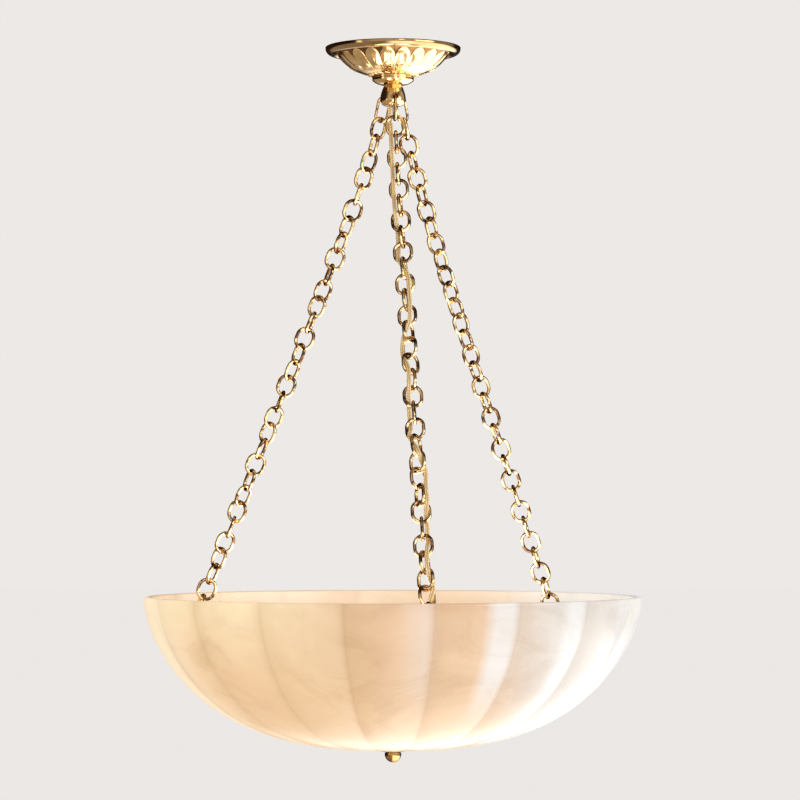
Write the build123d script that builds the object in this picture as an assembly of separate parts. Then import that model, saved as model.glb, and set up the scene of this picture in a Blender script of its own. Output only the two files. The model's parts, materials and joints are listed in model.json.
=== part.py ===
from build123d import *
import os
from math import acos, asin, atan2, cos, degrees, pi, radians, sin, sqrt, tan

# Chain-hung chandelier with a lobed glass bowl.
# Millimetres, +Z up. The origin is on the vertical axis at the ceiling plane, and -Y is the front.
# Azimuths are in degrees from the front, positive to the right (+X).

os.makedirs("parts", exist_ok=True)

# Clearances
thread_gap = 0.08
contact_gap = 0.05
moving_gap = 0.5
seat_gap = 0.4

# Ceiling bracket
bar_width = 19.0
bar_thickness = 2.0
bar_drop = 9.0
bar_web_half = 24.0
bar_bend_run = 5.0
bar_foot_end = 48.0
slot_spacing = 69.85
slot_width = 4.8
slot_length = 14.0
ground_screw_x = 17.0
ground_screw_radius = 2.0
ground_head_radius = 4.0
ground_head_height = 2.4
ground_screw_length = 7.0
ground_head_round = 1.0
ground_slot_width = 1.0
ground_slot_depth = 0.9

# Threaded nipple and its locknuts
nipple_radius = 5.0
nipple_bore = 3.5
nipple_top = -4.5
nut_across_flats = 15.0
nut_height = 3.0

# Canopy
canopy_radius = 83.3
canopy_lip = 1.6
canopy_lip_width = 1.8
canopy_step_radius = 70.0
canopy_step_drop = 8.0
canopy_depth = 35.1
canopy_flat_radius = 24.0
canopy_wall = 1.2
canopy_rim_run = 2.0
canopy_step_rise = 0.6
canopy_shoulder_inset = 14.7
canopy_shoulder_drop = 22.8

# Collar ring under the canopy
collar_radius = 25.6
collar_height = 2.6
collar_round = 0.9

# Bell hub
saucer_radius = 25.6
saucer_lip = 2.2
saucer_height = 7.7
neck_radius = 10.4
bell_radius = 16.0
bell_widest_drop = 19.0
bell_height = 26.0
bell_mouth_radius = 8.6
bell_wall = 3.1
saucer_under_inset = 5.6
saucer_under_drop = 5.85
shoulder_inset = 1.6
shoulder_drop = 9.5
foot_inset = 2.1
foot_rise = 2.66
mouth_edge = 1.55
cavity_taper = 1.5
cavity_shoulder = 2.0
nipple_engagement = 12.0
window_width = 11.0
window_top_drop = 10.5

# First links, one in each window of the hub
hub_link_wire = 3.4
hub_link_length = 34.0
hub_link_width = 18.5
sill_arc_inset = 4.153
sill_arc_rise = 4.106

# Chains
chain_azimuths = {"front": 9.0, "left": -111.0, "right": 129.0}
link_wire = 4.1
link_width = 24.8
link_pitch = 21.2
link_gap = 0.25
link_count = 31
top_slope = 13.0
slope_share = 0.77
twist_change_link = 12
first_twist = {"front": 0.0, "left": -43.0, "right": 80.0}
twist_start = {"front": 0.0, "left": 0.0, "right": 103.7}
twist_above = {"front": 91.5, "left": 68.3, "right": 93.3}
twist_below = {"front": 102.5, "left": 68.3, "right": 93.3}

# Eye bolts at the chain ends
eye_wire = 4.0
eye_radius = 7.5
eye_gap = 0.5
eye_shank_radius = 2.5
eye_nut_flats = 8.0
eye_nut_height = 4.0
eye_thread_spare = 4.0
eye_wall_gap = 17.2

# Spider
arm_width = 14.0
arm_thickness = 3.0
arm_inner_radius = 11.0
arm_end_spare = 7.0
plate_radius = 33.0
plate_thickness = 3.0
rivet_radius = 2.0
rivet_head_radius = 3.6
rivet_head_height = 1.6
rivet_places = (19.0, 27.0)

# Glass bowl
rim_over_arms = 43.7
bowl_radius = 305.6
bowl_depth = 186.5
bowl_round_power = 0.74
bowl_depth_power = 1.2
bowl_wall = 6.0
bowl_floor = 8.0
lobe_count = 18
valley_share = 0.984
bowl_hole_radius = 5.6
bowl_turns = (0, 10, 20, 30, 40, 50, 58, 66, 73, 79, 84, 88)
inner_turns = (0, 8, 16, 24, 32, 40, 48, 56, 63, 70, 76, 81, 85)

# Centre rod and what it carries
rod_radius = 4.0
rod_bore = 2.0
rod_nut_flats = 13.0
rod_nut_height = 4.0
rod_thread_spare = 5.0
glass_gap = 0.25
inner_rubber_radius = 24.0
inner_rubber_thickness = 2.0
inner_washer_radius = 26.0
inner_washer_thickness = 2.0
outer_rubber_radius = 12.0
outer_rubber_thickness = 1.0
outer_washer_radius = 14.5
outer_washer_thickness = 1.5

# Finial
finial_gap = 0.3
finial_radius = 10.2
finial_height = 13.2
finial_foot_radius = 8.6
finial_foot_height = 1.4
finial_thread_depth = 8.5
finial_end_space = 1.0

# Lamp cluster
cluster_under_plate = 35.3
cluster_radius = 25.0
cluster_height = 44.0
cluster_wall = 2.0
lid_thickness = 2.0
socket_azimuths = (69.0, 189.0, 309.0)
socket_radius = 19.0
socket_length = 46.0
socket_floor = 6.0
socket_bore = 14.4
socket_round = 2.5
shell_wall = 0.7
shell_length = 30.0
lamp_base_radius = 13.2
lamp_base_length = 27.0
lamp_radius = 30.0
lamp_length = 108.0
lamp_wall = 1.2
lamp_neck_radius = 12.4
lamp_cap_floor = 3.0
lamp_button_radius = 4.0
lamp_button_height = 1.5
lamp_neck_length = 6.0
lamp_neck_engagement = 8.0
lamp_flare_end = 132.8
stub_radius = 5.0
stub_bore = 1.6
stub_spare = 3.0
socket_start = 27.0
shell_inset = 1.0
cluster_lead_place = 12.0
cluster_lead_drop = 5.0
cluster_lead_spare = 2.0

# Electrical cord
bend_share = 0.45
straight_enough = 0.5
cord_radius = 2.3
cord_wire_gap = 1.6
cord_opening_place = 5.2
cord_exit_azimuth = -51.0
cord_exit_radius = 5.5
cord_top_spare = 3.3
cord_start_gap = 2.0
cord_mouth_drops = (67.5, 77.0)
lead_radius = 1.2
lead_bend = 3.5
lead_top_drop = 1.6
lead_place = 1.7
lead_drop_place = 19.0
connector_top = 13.0
connector_radius = 5.5
connector_end_radius = 4.0
connector_height = 18.0
connector_bore = 2.2
connector_bore_depth = 9.0
lead_engagement = 7.0
weave = (221, 136, 137, 139, 140, 142, 143, 235, 236, 148, 59, 61, 62, 69, 172, 184,
         107, 119, 222, 234, 157, 79, 2, 14, 27, 309, 322, 64, 77, 359, 282)
cord_split_share = 0.35
cord_split_gap = 0.8
cord_arm_gap = 0.2
cord_landing_back = 45.0
cord_edge_place = 62.0
cord_side_gap = 2.5
cord_side_run = 16.0
cord_side_drop = 16.0
cord_lid_space = 16.0
bushing_radius = 5.0
bushing_neck_radius = 3.8
bushing_flange = 1.5
bushing_place = 15.0
tie_places = (180.0, 100.0)
tie_width = 3.0
tie_thickness = 1.0


def save(node, *solids):
    """Write one node. Several solids become one group."""
    shapes = [solid for group in solids for solid in group.solids()]
    export_step(shapes[0] if len(shapes) == 1 else Compound(children=shapes), f"parts/{node}.step")
    return shapes


def turned(outline):
    """Solid of revolution about Z from a closed outline whose x is the radius and y the height."""
    return revolve(Plane.XZ * make_face(outline), Axis.Z, 360)


def polygon_turned(*points):
    return turned(Polyline(*points, close=True))


def ring(outer, inner, low, high):
    """Plain ring about Z."""
    return Pos(0, 0, low) * extrude(Circle(outer) - Circle(inner), high - low)


def disc(radius, low, high):
    return Pos(0, 0, low) * extrude(Circle(radius), high - low)


def tube_outward(outer, inner, start, end):
    """Ring about X."""
    return Pos(start, 0, 0) * extrude(Plane.YZ * (Circle(outer) - Circle(inner)), end - start)


def bar_outward(radius, start, end):
    """Round bar along X."""
    return Pos(start, 0, 0) * extrude(Plane.YZ * Circle(radius), end - start)


def hex_nut(flats, bore, low, high):
    return Pos(0, 0, low) * extrude(RegularPolygon(flats / sqrt(3), 6) - Circle(bore), high - low)


def radial(azimuth):
    """Unit vector away from the axis at an azimuth."""
    return Vector(sin(radians(azimuth)), -cos(radians(azimuth)), 0)


def tangent(azimuth):
    return Vector(cos(radians(azimuth)), sin(radians(azimuth)), 0)


def about(azimuth, shape):
    """Turn a shape drawn along +X to an azimuth."""
    return Rot(0, 0, azimuth - 90) * shape


def chain_direction(azimuth, number):
    """Unit vector down a chain at one of its links. Number -1 is the link in the hub."""
    slope = top_slope if number < 0 else chain_line[number][2]
    return radial(azimuth) * sin(radians(slope)) - Vector(0, 0, cos(radians(slope)))


def round_link(length, width, wire):
    """Oval link in the XY plane, long way along Y."""
    end_radius = (width - wire) / 2
    straight = length - wire - 2 * end_radius
    centre_line = SlotOverall(straight + 2 * end_radius, 2 * end_radius, rotation=90).wire()
    start = Plane(origin=centre_line @ 0, z_dir=centre_line % 0)
    return sweep(start * Circle(wire / 2), path=centre_line)


def link_plane(centre, along, normal):
    """Plane of a link: its long way along the chain, its flat side along the normal."""
    return Plane(origin=centre, x_dir=along.cross(normal), z_dir=normal)


def tube(points, radius, name):
    """Round tube on straight runs joined by arcs as large as the runs allow."""
    radii = []
    for before, corner, after in zip(points, points[1:], points[2:]):
        turn = radians((corner - before).get_angle(after - corner))
        shorter = min((corner - before).length, (after - corner).length)
        radii.append(bend_share * shorter / tan(turn / 2))
    path = FilletPolyline(*points, radius=radii)
    solid = sweep(Plane(origin=path @ 0, z_dir=path % 0) * Circle(radius), path=path)
    print(f"{name}: {path.length:.1f} mm long, tightest bend {min(radii):.1f} mm,"
          f" volume over section times length {solid.volume / (pi * radius ** 2 * path.length):.4f}")
    return solid


def away_from_lines(points):
    """Drop the points that lie in line with their neighbours."""
    kept = [points[0]]
    for point, after in zip(points[1:], points[2:]):
        if (point - kept[-1]).get_angle(after - point) > straight_enough:
            kept.append(point)
    return kept + [points[-1]]


# Heights that follow from the sizes
collar_top = -canopy_depth - moving_gap
collar_low = collar_top - collar_height
hub_top = collar_low - moving_gap
hub_low = hub_top - saucer_height - bell_height
bell_widest = hub_top - saucer_height - bell_widest_drop
nipple_low = hub_top - nipple_engagement
bar_web_top = -bar_drop
bar_web_low = bar_web_top - bar_thickness

# Places of the chains. Each chain hangs steeper near the hub, and its eye bolt comes inside the bowl's wall.
hub_link_end_radius = (hub_link_width - hub_link_wire) / 2
hub_arc_back = (hub_link_length - hub_link_width) / 2
hub_arc_radius = bell_radius - sill_arc_inset
hub_arc_height = hub_low + sill_arc_rise
link_length = link_pitch + link_gap + 2 * link_wire
first_link_step = (hub_link_length + link_length) / 2 - hub_link_wire - link_wire - link_gap
first_hang = hub_arc_back + first_link_step - link_pitch / 2
last_hang = (link_pitch + link_length - 2 * link_wire - eye_wire) / 2 - eye_gap
shank_drop = rim_over_arms + arm_thickness + eye_nut_height + eye_thread_spare
shank_turn = asin((shank_drop / (bowl_depth - bowl_floor)) ** (1 / bowl_depth_power))
eye_place = (bowl_radius * valley_share - bowl_wall) * cos(shank_turn) ** bowl_round_power - eye_wall_gap


def hanging_line(low_slope):
    """Radius, height and slope where each link hangs in the one above, and the same for the eye bolt."""
    radius = hub_arc_radius + first_hang * sin(radians(top_slope))
    height = hub_arc_height - first_hang * cos(radians(top_slope))
    line = []
    for number in range(link_count):
        slope = low_slope - (low_slope - top_slope) * slope_share ** (number + 1)
        line.append((radius, height, slope))
        reach = last_hang if number == link_count - 1 else link_pitch
        radius += reach * sin(radians(slope))
        height -= reach * cos(radians(slope))
    return line + [(radius, height, slope)]


def hang_to(place):
    """Hanging line whose eye bolt comes at a radius, found by halving the range of slopes."""
    low, high = 0.0, 80.0
    while high - low > 1e-9:
        middle = (low + high) / 2
        if hanging_line(middle)[-1][0] < place:
            low = middle
        else:
            high = middle
    return hanging_line(low)


chain_line = hang_to(eye_place)


def hub_link_centre(azimuth):
    arc_centre = radial(azimuth) * hub_arc_radius + Vector(0, 0, hub_arc_height)
    return arc_centre + chain_direction(azimuth, -1) * hub_arc_back


def hanging_place(azimuth, number):
    """Place where a link hangs in the one above."""
    radius, height, slope = chain_line[number]
    return radial(azimuth) * radius + Vector(0, 0, height)


def link_centre(azimuth, number):
    return hanging_place(azimuth, number) + chain_direction(azimuth, number) * (link_pitch / 2)


def facing(along):
    """Square to the chain, towards the front."""
    front = Vector(0, -1, 0)
    return (front - along * front.dot(along)).normalized()


def link_normal(name, number):
    """The side that a link shows. Each link is turned about the chain by the chain's own twist."""
    along = chain_direction(chain_azimuths[name], number)
    turn = twist_start[name] + twist_above[name] * min(number, twist_change_link)
    turn += twist_below[name] * max(number - twist_change_link, 0)
    if number == 0:
        turn = first_twist[name]
    return facing(along).rotate(Axis((0, 0, 0), along), turn)


def ceiling_bar():
    """Offset flat bar. Its feet touch the ceiling and its middle hangs lower, for the nipple."""
    foot_start = bar_web_half + bar_bend_run
    top_line = [(-bar_foot_end, 0), (-foot_start, 0), (-bar_web_half, bar_web_top),
                (bar_web_half, bar_web_top), (foot_start, 0), (bar_foot_end, 0)]
    low_line = [(x, z - bar_thickness) for x, z in reversed(top_line)]
    bar = extrude(Plane.XZ * make_face(Polyline(*top_line, *low_line, close=True)), bar_width / 2, both=True)
    outline = SlotOverall(2 * bar_foot_end, bar_width)
    bar &= extrude(outline, 2 * bar_drop, both=True)
    for side in (-1, 1):
        slot = Pos(side * slot_spacing / 2, 0) * SlotOverall(slot_length, slot_width)
        bar -= extrude(slot, 2 * bar_thickness, both=True)
    bar -= Pos(0, 0, bar_web_low) * Cylinder(nipple_radius + thread_gap, 4 * bar_thickness)
    bar -= Pos(ground_screw_x, 0, bar_web_low) * Cylinder(ground_screw_radius + thread_gap, 4 * bar_thickness)
    return bar


def ground_screw():
    shank = Cylinder(ground_screw_radius, ground_screw_length, align=(Align.CENTER, Align.CENTER, Align.MAX))
    head = Cylinder(ground_head_radius, ground_head_height, align=(Align.CENTER, Align.CENTER, Align.MIN))
    head = fillet(head.edges().group_by(Axis.Z)[-1], ground_head_round)
    slot = Box(4 * ground_head_radius, ground_slot_width, 2 * ground_slot_depth)
    screw = shank + head - Pos(0, 0, ground_head_height) * slot
    return Pos(ground_screw_x, 0, bar_web_top + contact_gap) * screw


def nipple():
    return ring(nipple_radius, nipple_bore, nipple_low, nipple_top)


def locknuts():
    """One nut above the bar and one below it."""
    bore = nipple_radius + thread_gap
    above = hex_nut(nut_across_flats, bore, bar_web_top + contact_gap, bar_web_top + contact_gap + nut_height)
    below = hex_nut(nut_across_flats, bore, bar_web_low - contact_gap - nut_height, bar_web_low - contact_gap)
    return above + below


def canopy_outline():
    """Outer line of the canopy from its lip to the flat round the nipple."""
    lip = Line((canopy_radius, 0), (canopy_radius, -canopy_lip))
    rim = TangentArc(lip @ 1, (canopy_step_radius + canopy_rim_run, -canopy_step_drop), tangent=(0, -1))
    step = Line(rim @ 1, (canopy_step_radius, -canopy_step_drop + canopy_step_rise))
    dome = ThreePointArc(step @ 1, (canopy_step_radius - canopy_shoulder_inset, -canopy_shoulder_drop),
                         (canopy_flat_radius, -canopy_depth))
    return lip, rim, step, dome


def canopy():
    """Domed cover with a moulded rim, made of sheet."""
    lip, rim, step, dome = canopy_outline()
    hole = nipple_radius + thread_gap
    floor = Line(dome @ 1, (hole, -canopy_depth))
    wall = Line(floor @ 1, (hole, -canopy_depth + canopy_wall))
    inner_floor = Line(wall @ 1, (canopy_flat_radius, -canopy_depth + canopy_wall))
    inner_step = canopy_step_radius - canopy_wall
    inner_dome = ThreePointArc(inner_floor @ 1,
                               (inner_step - canopy_shoulder_inset, canopy_wall - canopy_shoulder_drop),
                               (inner_step, canopy_wall - canopy_step_drop))
    inner_lip = canopy_radius - canopy_lip_width
    inner_rim = Polyline(inner_dome @ 1, (inner_lip - canopy_wall / 2, -canopy_lip - canopy_wall),
                         (inner_lip, 0), lip @ 0)
    return turned([lip, rim, step, dome, floor, wall, inner_floor, inner_dome, inner_rim])


def collar_ring():
    """Thin ring on the nipple that clamps the canopy to the ceiling."""
    body = ring(collar_radius, nipple_radius + thread_gap, collar_low, collar_top)
    return fillet(body.edges().filter_by(GeomType.CIRCLE).sort_by(SortBy.RADIUS)[-2:], collar_round)


def window_arch():
    """Outline of a window, wide way along X and up along Y, as seen from outside."""
    half = window_width / 2
    top = hub_top - window_top_drop - saucer_height
    low = hub_low - window_width
    sides = Polyline((-half, top - half), (-half, low), (half, low), (half, top - half))
    return make_face([sides, ThreePointArc((half, top - half), (0, top), (-half, top - half))])


def bell_hub():
    """Saucer and bell in one casting, with a window over a rounded sill for each first link."""
    low = hub_low
    neck_top = hub_top - saucer_height
    lip = Line((saucer_radius, hub_top), (saucer_radius, hub_top - saucer_lip))
    under = ThreePointArc(lip @ 1, (saucer_radius - saucer_under_inset, hub_top - saucer_under_drop),
                          (neck_radius, neck_top))
    shoulder_point = (bell_radius - shoulder_inset, neck_top - shoulder_drop)
    shoulder = ThreePointArc(under @ 1, shoulder_point, (bell_radius, bell_widest))
    foot = ThreePointArc(shoulder @ 1, (bell_radius - foot_inset, low + foot_rise), (bell_mouth_radius, low))
    cavity_top = nipple_low - moving_gap
    inner_radius = bell_radius - bell_wall
    mouth = Line(foot @ 1, (bell_mouth_radius, low + mouth_edge))
    bore = nipple_radius + thread_gap
    inside = Polyline(mouth @ 1, (inner_radius, bell_widest),
                      (inner_radius - cavity_taper, cavity_top - cavity_shoulder),
                      (bore, cavity_top), (bore, hub_top), lip @ 0)
    body = turned([lip, under, shoulder, foot, mouth, inside])
    sill_radius = hub_link_end_radius - hub_link_wire / 2 - seat_gap
    for azimuth in chain_azimuths.values():
        face = Plane(origin=(0, 0, 0), x_dir=tangent(azimuth), z_dir=radial(azimuth))
        cutter = face * Pos(0, 0, inner_radius / 2) * extrude(window_arch(), 2 * bell_radius)
        centre = radial(azimuth) * hub_arc_radius + Vector(0, 0, hub_arc_height)
        cutter -= Plane(origin=centre, z_dir=tangent(azimuth)) * Cylinder(sill_radius, 3 * bell_radius)
        cutter &= Pos(0, 0, hub_arc_height) * extrude(Circle(6 * bell_radius), 8 * bell_radius)
        body -= cutter
    return body


def hub_link(azimuth):
    link = round_link(hub_link_length, hub_link_width, hub_link_wire)
    return link_plane(hub_link_centre(azimuth), chain_direction(azimuth, -1), tangent(azimuth)) * link


def chain(name):
    azimuth = chain_azimuths[name]
    link = round_link(link_length, link_width, link_wire)
    links = []
    for number in range(link_count):
        along = chain_direction(azimuth, number)
        links.append(link_plane(link_centre(azimuth, number), along, link_normal(name, number)) * link)
    return links


def eye_ring_centre(name):
    """Centre of the ring that hangs in the last link, and the flat side of the ring."""
    azimuth = chain_azimuths[name]
    along = chain_direction(azimuth, link_count - 1)
    width = along.cross(link_normal(name, link_count - 1))
    normal = Vector(width.X, width.Y, 0).normalized()
    top = hanging_place(azimuth, link_count)
    down = (along - normal * along.dot(normal)).normalized()
    return top + down * eye_radius, normal


eye_places = {name: eye_ring_centre(name) for name in chain_azimuths}
arm_top = min(centre.Z for centre, normal in eye_places.values()) - eye_radius - eye_wire - eye_nut_height
arm_low = arm_top - arm_thickness
plate_top = arm_low - contact_gap
plate_low = plate_top - plate_thickness
shank_low = arm_low - eye_nut_height - eye_thread_spare


def eye_bolt(name):
    centre, normal = eye_places[name]
    loop = Plane(origin=centre, z_dir=normal) * Torus(eye_radius, eye_wire / 2)
    foot = centre.Z - eye_radius
    shank = Pos(centre.X, centre.Y, shank_low) * extrude(Circle(eye_shank_radius), foot - shank_low)
    return loop + shank


def eye_bolt_nuts():
    """One nut above and one below each arm."""
    bore = eye_shank_radius + thread_gap
    nuts = []
    for centre, normal in eye_places.values():
        for low in (arm_top + contact_gap, arm_low - contact_gap - eye_nut_height):
            nuts.append(Pos(centre.X, centre.Y, 0) * hex_nut(eye_nut_flats, bore, low, low + eye_nut_height))
    return nuts


def arm(name):
    """Flat arm from the centre plate to one eye bolt."""
    centre, normal = eye_places[name]
    reach = sqrt(centre.X ** 2 + centre.Y ** 2)
    heading = degrees(acos(-centre.Y / reach)) * (1 if centre.X > 0 else -1)
    length = reach + arm_end_spare - arm_inner_radius
    bar = extrude(SlotOverall(length, arm_width), arm_thickness)
    bar = Pos(arm_inner_radius + length / 2, 0, arm_low) * bar
    holes = [Pos(reach, 0, arm_low) * Cylinder(eye_shank_radius + thread_gap, 3 * arm_thickness)]
    for place in rivet_places:
        holes.append(Pos(place, 0, arm_low) * Cylinder(rivet_radius + contact_gap, 3 * arm_thickness))
    return about(heading, bar - holes), heading


def centre_plate():
    """Disc under the inner ends of the arms, with a hole for the rod and two rivets in each arm."""
    plate = ring(plate_radius, rod_radius + thread_gap, plate_low, plate_top)
    for name in chain_azimuths:
        for place in rivet_places:
            spot = radial(arm(name)[1]) * place
            hole = Cylinder(rivet_radius + contact_gap, 3 * plate_thickness)
            plate -= Pos(spot.X, spot.Y, plate_low) * hole
    return plate


def rivets():
    shapes = []
    for name in chain_azimuths:
        for place in rivet_places:
            spot = radial(arm(name)[1]) * place
            head_low = arm_top + contact_gap
            tail_top = plate_low - contact_gap
            rivet = disc(rivet_radius, tail_top, head_low)
            rivet += disc(rivet_head_radius, head_low, head_low + rivet_head_height)
            rivet += disc(rivet_head_radius, tail_top - rivet_head_height, tail_top)
            shapes.append(Pos(spot.X, spot.Y, 0) * rivet)
    return shapes


# Heights under the spider
bowl_rim = arm_top + rim_over_arms
bowl_low = bowl_rim - bowl_depth
floor_top = bowl_low + bowl_floor
inner_rubber_low = floor_top + glass_gap
inner_washer_low = inner_rubber_low + inner_rubber_thickness + contact_gap
outer_rubber_top = bowl_low - glass_gap
outer_washer_top = outer_rubber_top - outer_rubber_thickness - contact_gap
finial_top = outer_washer_top - outer_washer_thickness - finial_gap
rod_top = plate_top + contact_gap + rod_nut_height + rod_thread_spare
rod_low = finial_top - finial_thread_depth + finial_end_space
cluster_top = plate_low - cluster_under_plate
cluster_low = cluster_top - cluster_height
lid_low = cluster_top - lid_thickness
stub_height = (cluster_top + cluster_low) / 2


def centre_rod():
    """Hollow threaded rod from above the plate, through the cluster and the glass, into the finial."""
    return ring(rod_radius, rod_bore, rod_low, rod_top)


def rod_nuts():
    """Nuts that clamp the plate, the cluster and the inner washer."""
    bore = rod_radius + thread_gap
    lows = (plate_top + contact_gap, plate_low - contact_gap - rod_nut_height,
            cluster_top + contact_gap, cluster_low - contact_gap - rod_nut_height,
            inner_washer_low + inner_washer_thickness + contact_gap)
    return [hex_nut(rod_nut_flats, bore, low, low + rod_nut_height) for low in lows]


def outward(azimuth, shape):
    """Place a shape drawn along +X in the plane of the sockets."""
    return Pos(0, 0, stub_height) * about(azimuth, shape)


def cluster_body():
    """Cup that carries the three sockets."""
    top = lid_low - contact_gap
    cup = ring(cluster_radius, rod_radius + thread_gap, cluster_low, top)
    cup -= disc(cluster_radius - cluster_wall, cluster_low + cluster_wall, top)
    for azimuth in socket_azimuths:
        cup -= outward(azimuth, bar_outward(stub_radius + thread_gap, rod_radius, 2 * cluster_radius))
    return cup


def cluster_lid():
    lid = ring(cluster_radius, rod_radius + thread_gap, lid_low, cluster_top)
    spot = radial(front_heading) * bushing_place
    hole = disc(bushing_neck_radius + contact_gap, lid_low - lid_thickness, cluster_top + lid_thickness)
    return lid - Pos(spot.X, spot.Y, 0) * hole


def stubs():
    """Threaded tubes that join the sockets to the cluster."""
    start = cluster_radius - cluster_wall - stub_spare
    end = socket_start + socket_floor + stub_spare
    return [outward(azimuth, tube_outward(stub_radius, stub_bore, start, end)) for azimuth in socket_azimuths]


def socket(azimuth):
    end = socket_start + socket_length
    cup = tube_outward(socket_radius, stub_radius + thread_gap, socket_start, end)
    end_circles = cup.edges().filter_by(GeomType.CIRCLE).group_by(Axis.X)[0]
    cup = fillet(end_circles.sort_by(SortBy.RADIUS)[-1:], socket_round)
    return outward(azimuth, cup - bar_outward(socket_bore, socket_start + socket_floor, 2 * end))


def socket_shell(azimuth):
    end = socket_start + socket_length - shell_inset
    outer = socket_bore - 2 * contact_gap
    return outward(azimuth, tube_outward(outer, outer - shell_wall, end - shell_length, end))


def lamp_base(azimuth):
    """Metal cap of a lamp, open towards the glass, with a contact button at its end."""
    end = socket_start + socket_length
    start = end - lamp_base_length
    cap = bar_outward(lamp_base_radius, start, end)
    cap -= bar_outward(lamp_neck_radius + contact_gap, start + lamp_cap_floor, 2 * end)
    cap += bar_outward(lamp_button_radius, start - lamp_button_height, start)
    return outward(azimuth, cap)


def lamp_outline(inset):
    """Half outline of the lamp glass along X: neck, flare and ball."""
    base_end = socket_start + socket_length
    neck_end = base_end + lamp_neck_length
    ball = base_end - lamp_base_length + lamp_length - lamp_radius
    neck = lamp_neck_radius - inset
    size = lamp_radius - inset
    meet = radians(lamp_flare_end)
    straight = Line((base_end - lamp_neck_engagement, neck), (neck_end, neck))
    flare = TangentArc(straight @ 1, (ball + size * cos(meet), size * sin(meet)), tangent=(1, 0))
    top = radians(lamp_flare_end / 2)
    dome = ThreePointArc(flare @ 1, (ball + size * cos(top), size * sin(top)), (ball + size, 0))
    return [straight, flare, dome]


def lamp_glass(azimuth):
    outer = lamp_outline(0)
    inner = lamp_outline(lamp_wall)
    tip = Line(outer[2] @ 1, inner[2] @ 1)
    foot = Line(outer[0] @ 0, inner[0] @ 0)
    bulb = revolve(make_face([*outer, tip, *inner, foot]), Axis.X, 360)
    return outward(azimuth, bulb)


def socket_leads():
    """One lead for each socket, down in the cluster and out through the stub."""
    leads = []
    for azimuth in socket_azimuths:
        inside = radial(azimuth) * cluster_lead_place
        outside = radial(azimuth) * (socket_start + socket_floor + stub_spare + cluster_lead_spare)
        points = [inside + Vector(0, 0, lid_low - cluster_lead_drop), inside + Vector(0, 0, stub_height),
                  outside + Vector(0, 0, stub_height)]
        leads.append(tube(points, lead_radius, "socket lead"))
    return leads


def finial():
    """Ball with a short foot, threaded on the rod."""
    bore = rod_radius + thread_gap
    low = finial_top - finial_height
    middle = low + finial_radius
    foot_low = finial_top - finial_foot_height
    shoulder = sqrt(finial_radius ** 2 - (foot_low - middle) ** 2)
    depth = finial_top - finial_thread_depth
    foot = Polyline((0, low), (0, depth), (bore, depth), (bore, finial_top), (finial_foot_radius, finial_top),
                    (finial_foot_radius, foot_low), (shoulder, foot_low))
    slant = finial_radius * sin(radians(45))
    ball = ThreePointArc((shoulder, foot_low), (slant, middle - slant), (0, low))
    return turned([foot, ball])


def bowl_height(turn, depth):
    return bowl_rim - depth * sin(radians(turn)) ** bowl_depth_power


def lobed_outline(turn):
    """Outline of the bowl at one height: an arc for each lobe, with a crease between neighbours."""
    peak = bowl_radius * cos(radians(turn)) ** bowl_round_power
    up = Vector(0, 0, bowl_height(turn, bowl_depth))
    step = 360 / lobe_count
    arcs = []
    for lobe in range(lobe_count):
        start = chain_azimuths["front"] + lobe * step
        first = radial(start) * peak * valley_share + up
        crown = radial(start + step / 2) * peak + up
        last = radial(start + step) * peak * valley_share + up
        arcs.append(ThreePointArc(first, crown, last))
    return make_face(arcs)


def glass_bowl():
    """Lobed outside, smooth inside, flat rim, and a hole for the rod."""
    outside = loft([lobed_outline(turn) for turn in bowl_turns])
    inner_radius = bowl_radius * valley_share - bowl_wall
    inner_depth = bowl_depth - bowl_floor
    points = [(inner_radius * cos(radians(turn)) ** bowl_round_power, bowl_height(turn, inner_depth))
              for turn in inner_turns]
    points.append((0, bowl_height(90, inner_depth)))
    curve = Spline(points, tangents=((0, -1), (-1, 0)))
    close = Polyline(curve @ 1, (0, 0), (inner_radius, 0), curve @ 0)
    inside = turned([curve, close])
    return outside - inside - disc(bowl_hole_radius, bowl_low - bowl_floor, 0)


front_heading = arm("front")[1]
cord_top_low = nipple_low - cord_top_spare
leads_start = -lead_top_drop - lead_bend / bend_share
cord_on_arm = arm_top + cord_arm_gap + cord_radius


def cord_place(number):
    """Place of the cord where a link hangs in the one above, in the quadrant nearest to the weave angle.

    Angles run round the chain: 0 is right, 90 is towards the viewer, 180 is left.
    """
    azimuth = chain_azimuths["front"]
    along = chain_direction(azimuth, number)
    front = facing(along)
    angle = radians(weave[number])
    wanted = front.cross(along) * cos(angle) + front * sin(angle)
    upper = link_normal("front", number - 1) if number else tangent(azimuth)
    lower = link_normal("front", number)
    between = [(upper + lower).normalized(), (upper - lower).normalized()]
    choices = between + [way * -1 for way in between]
    way = max(choices, key=lambda choice: choice.dot(wanted))
    clear = cord_radius + link_wire / 2 + cord_wire_gap
    return hanging_place(azimuth, number) + way * (clear / abs(way.dot(lower)))


def cord_through_links():
    """Places of the cord down the chain, with one more in each link that it passes through."""
    azimuth = chain_azimuths["front"]
    places = [cord_place(number) for number in range(link_count)]
    points = []
    for number, place in enumerate(places[:-1]):
        points.append(place)
        centre = link_centre(azimuth, number)
        normal = link_normal("front", number)
        width = chain_direction(azimuth, number).cross(normal)
        if (place - centre).dot(normal) * (places[number + 1] - centre).dot(normal) < 0:
            side = 1 if (place - centre).dot(width) > 0 else -1
            points.append(centre + width * side * cord_opening_place)
    return points + places[-1:]


def cord_turn_in():
    """Where the cord leaves the chain, and where it meets the top of the front arm."""
    leave = cord_place(link_count - 1)
    reach = sqrt(eye_places["front"][0].X ** 2 + eye_places["front"][0].Y ** 2)
    landing = radial(front_heading) * (reach - cord_landing_back) + Vector(0, 0, cord_on_arm)
    return leave, landing


def cord_top():
    return disc(cord_radius, cord_top_low, leads_start - contact_gap)


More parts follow.
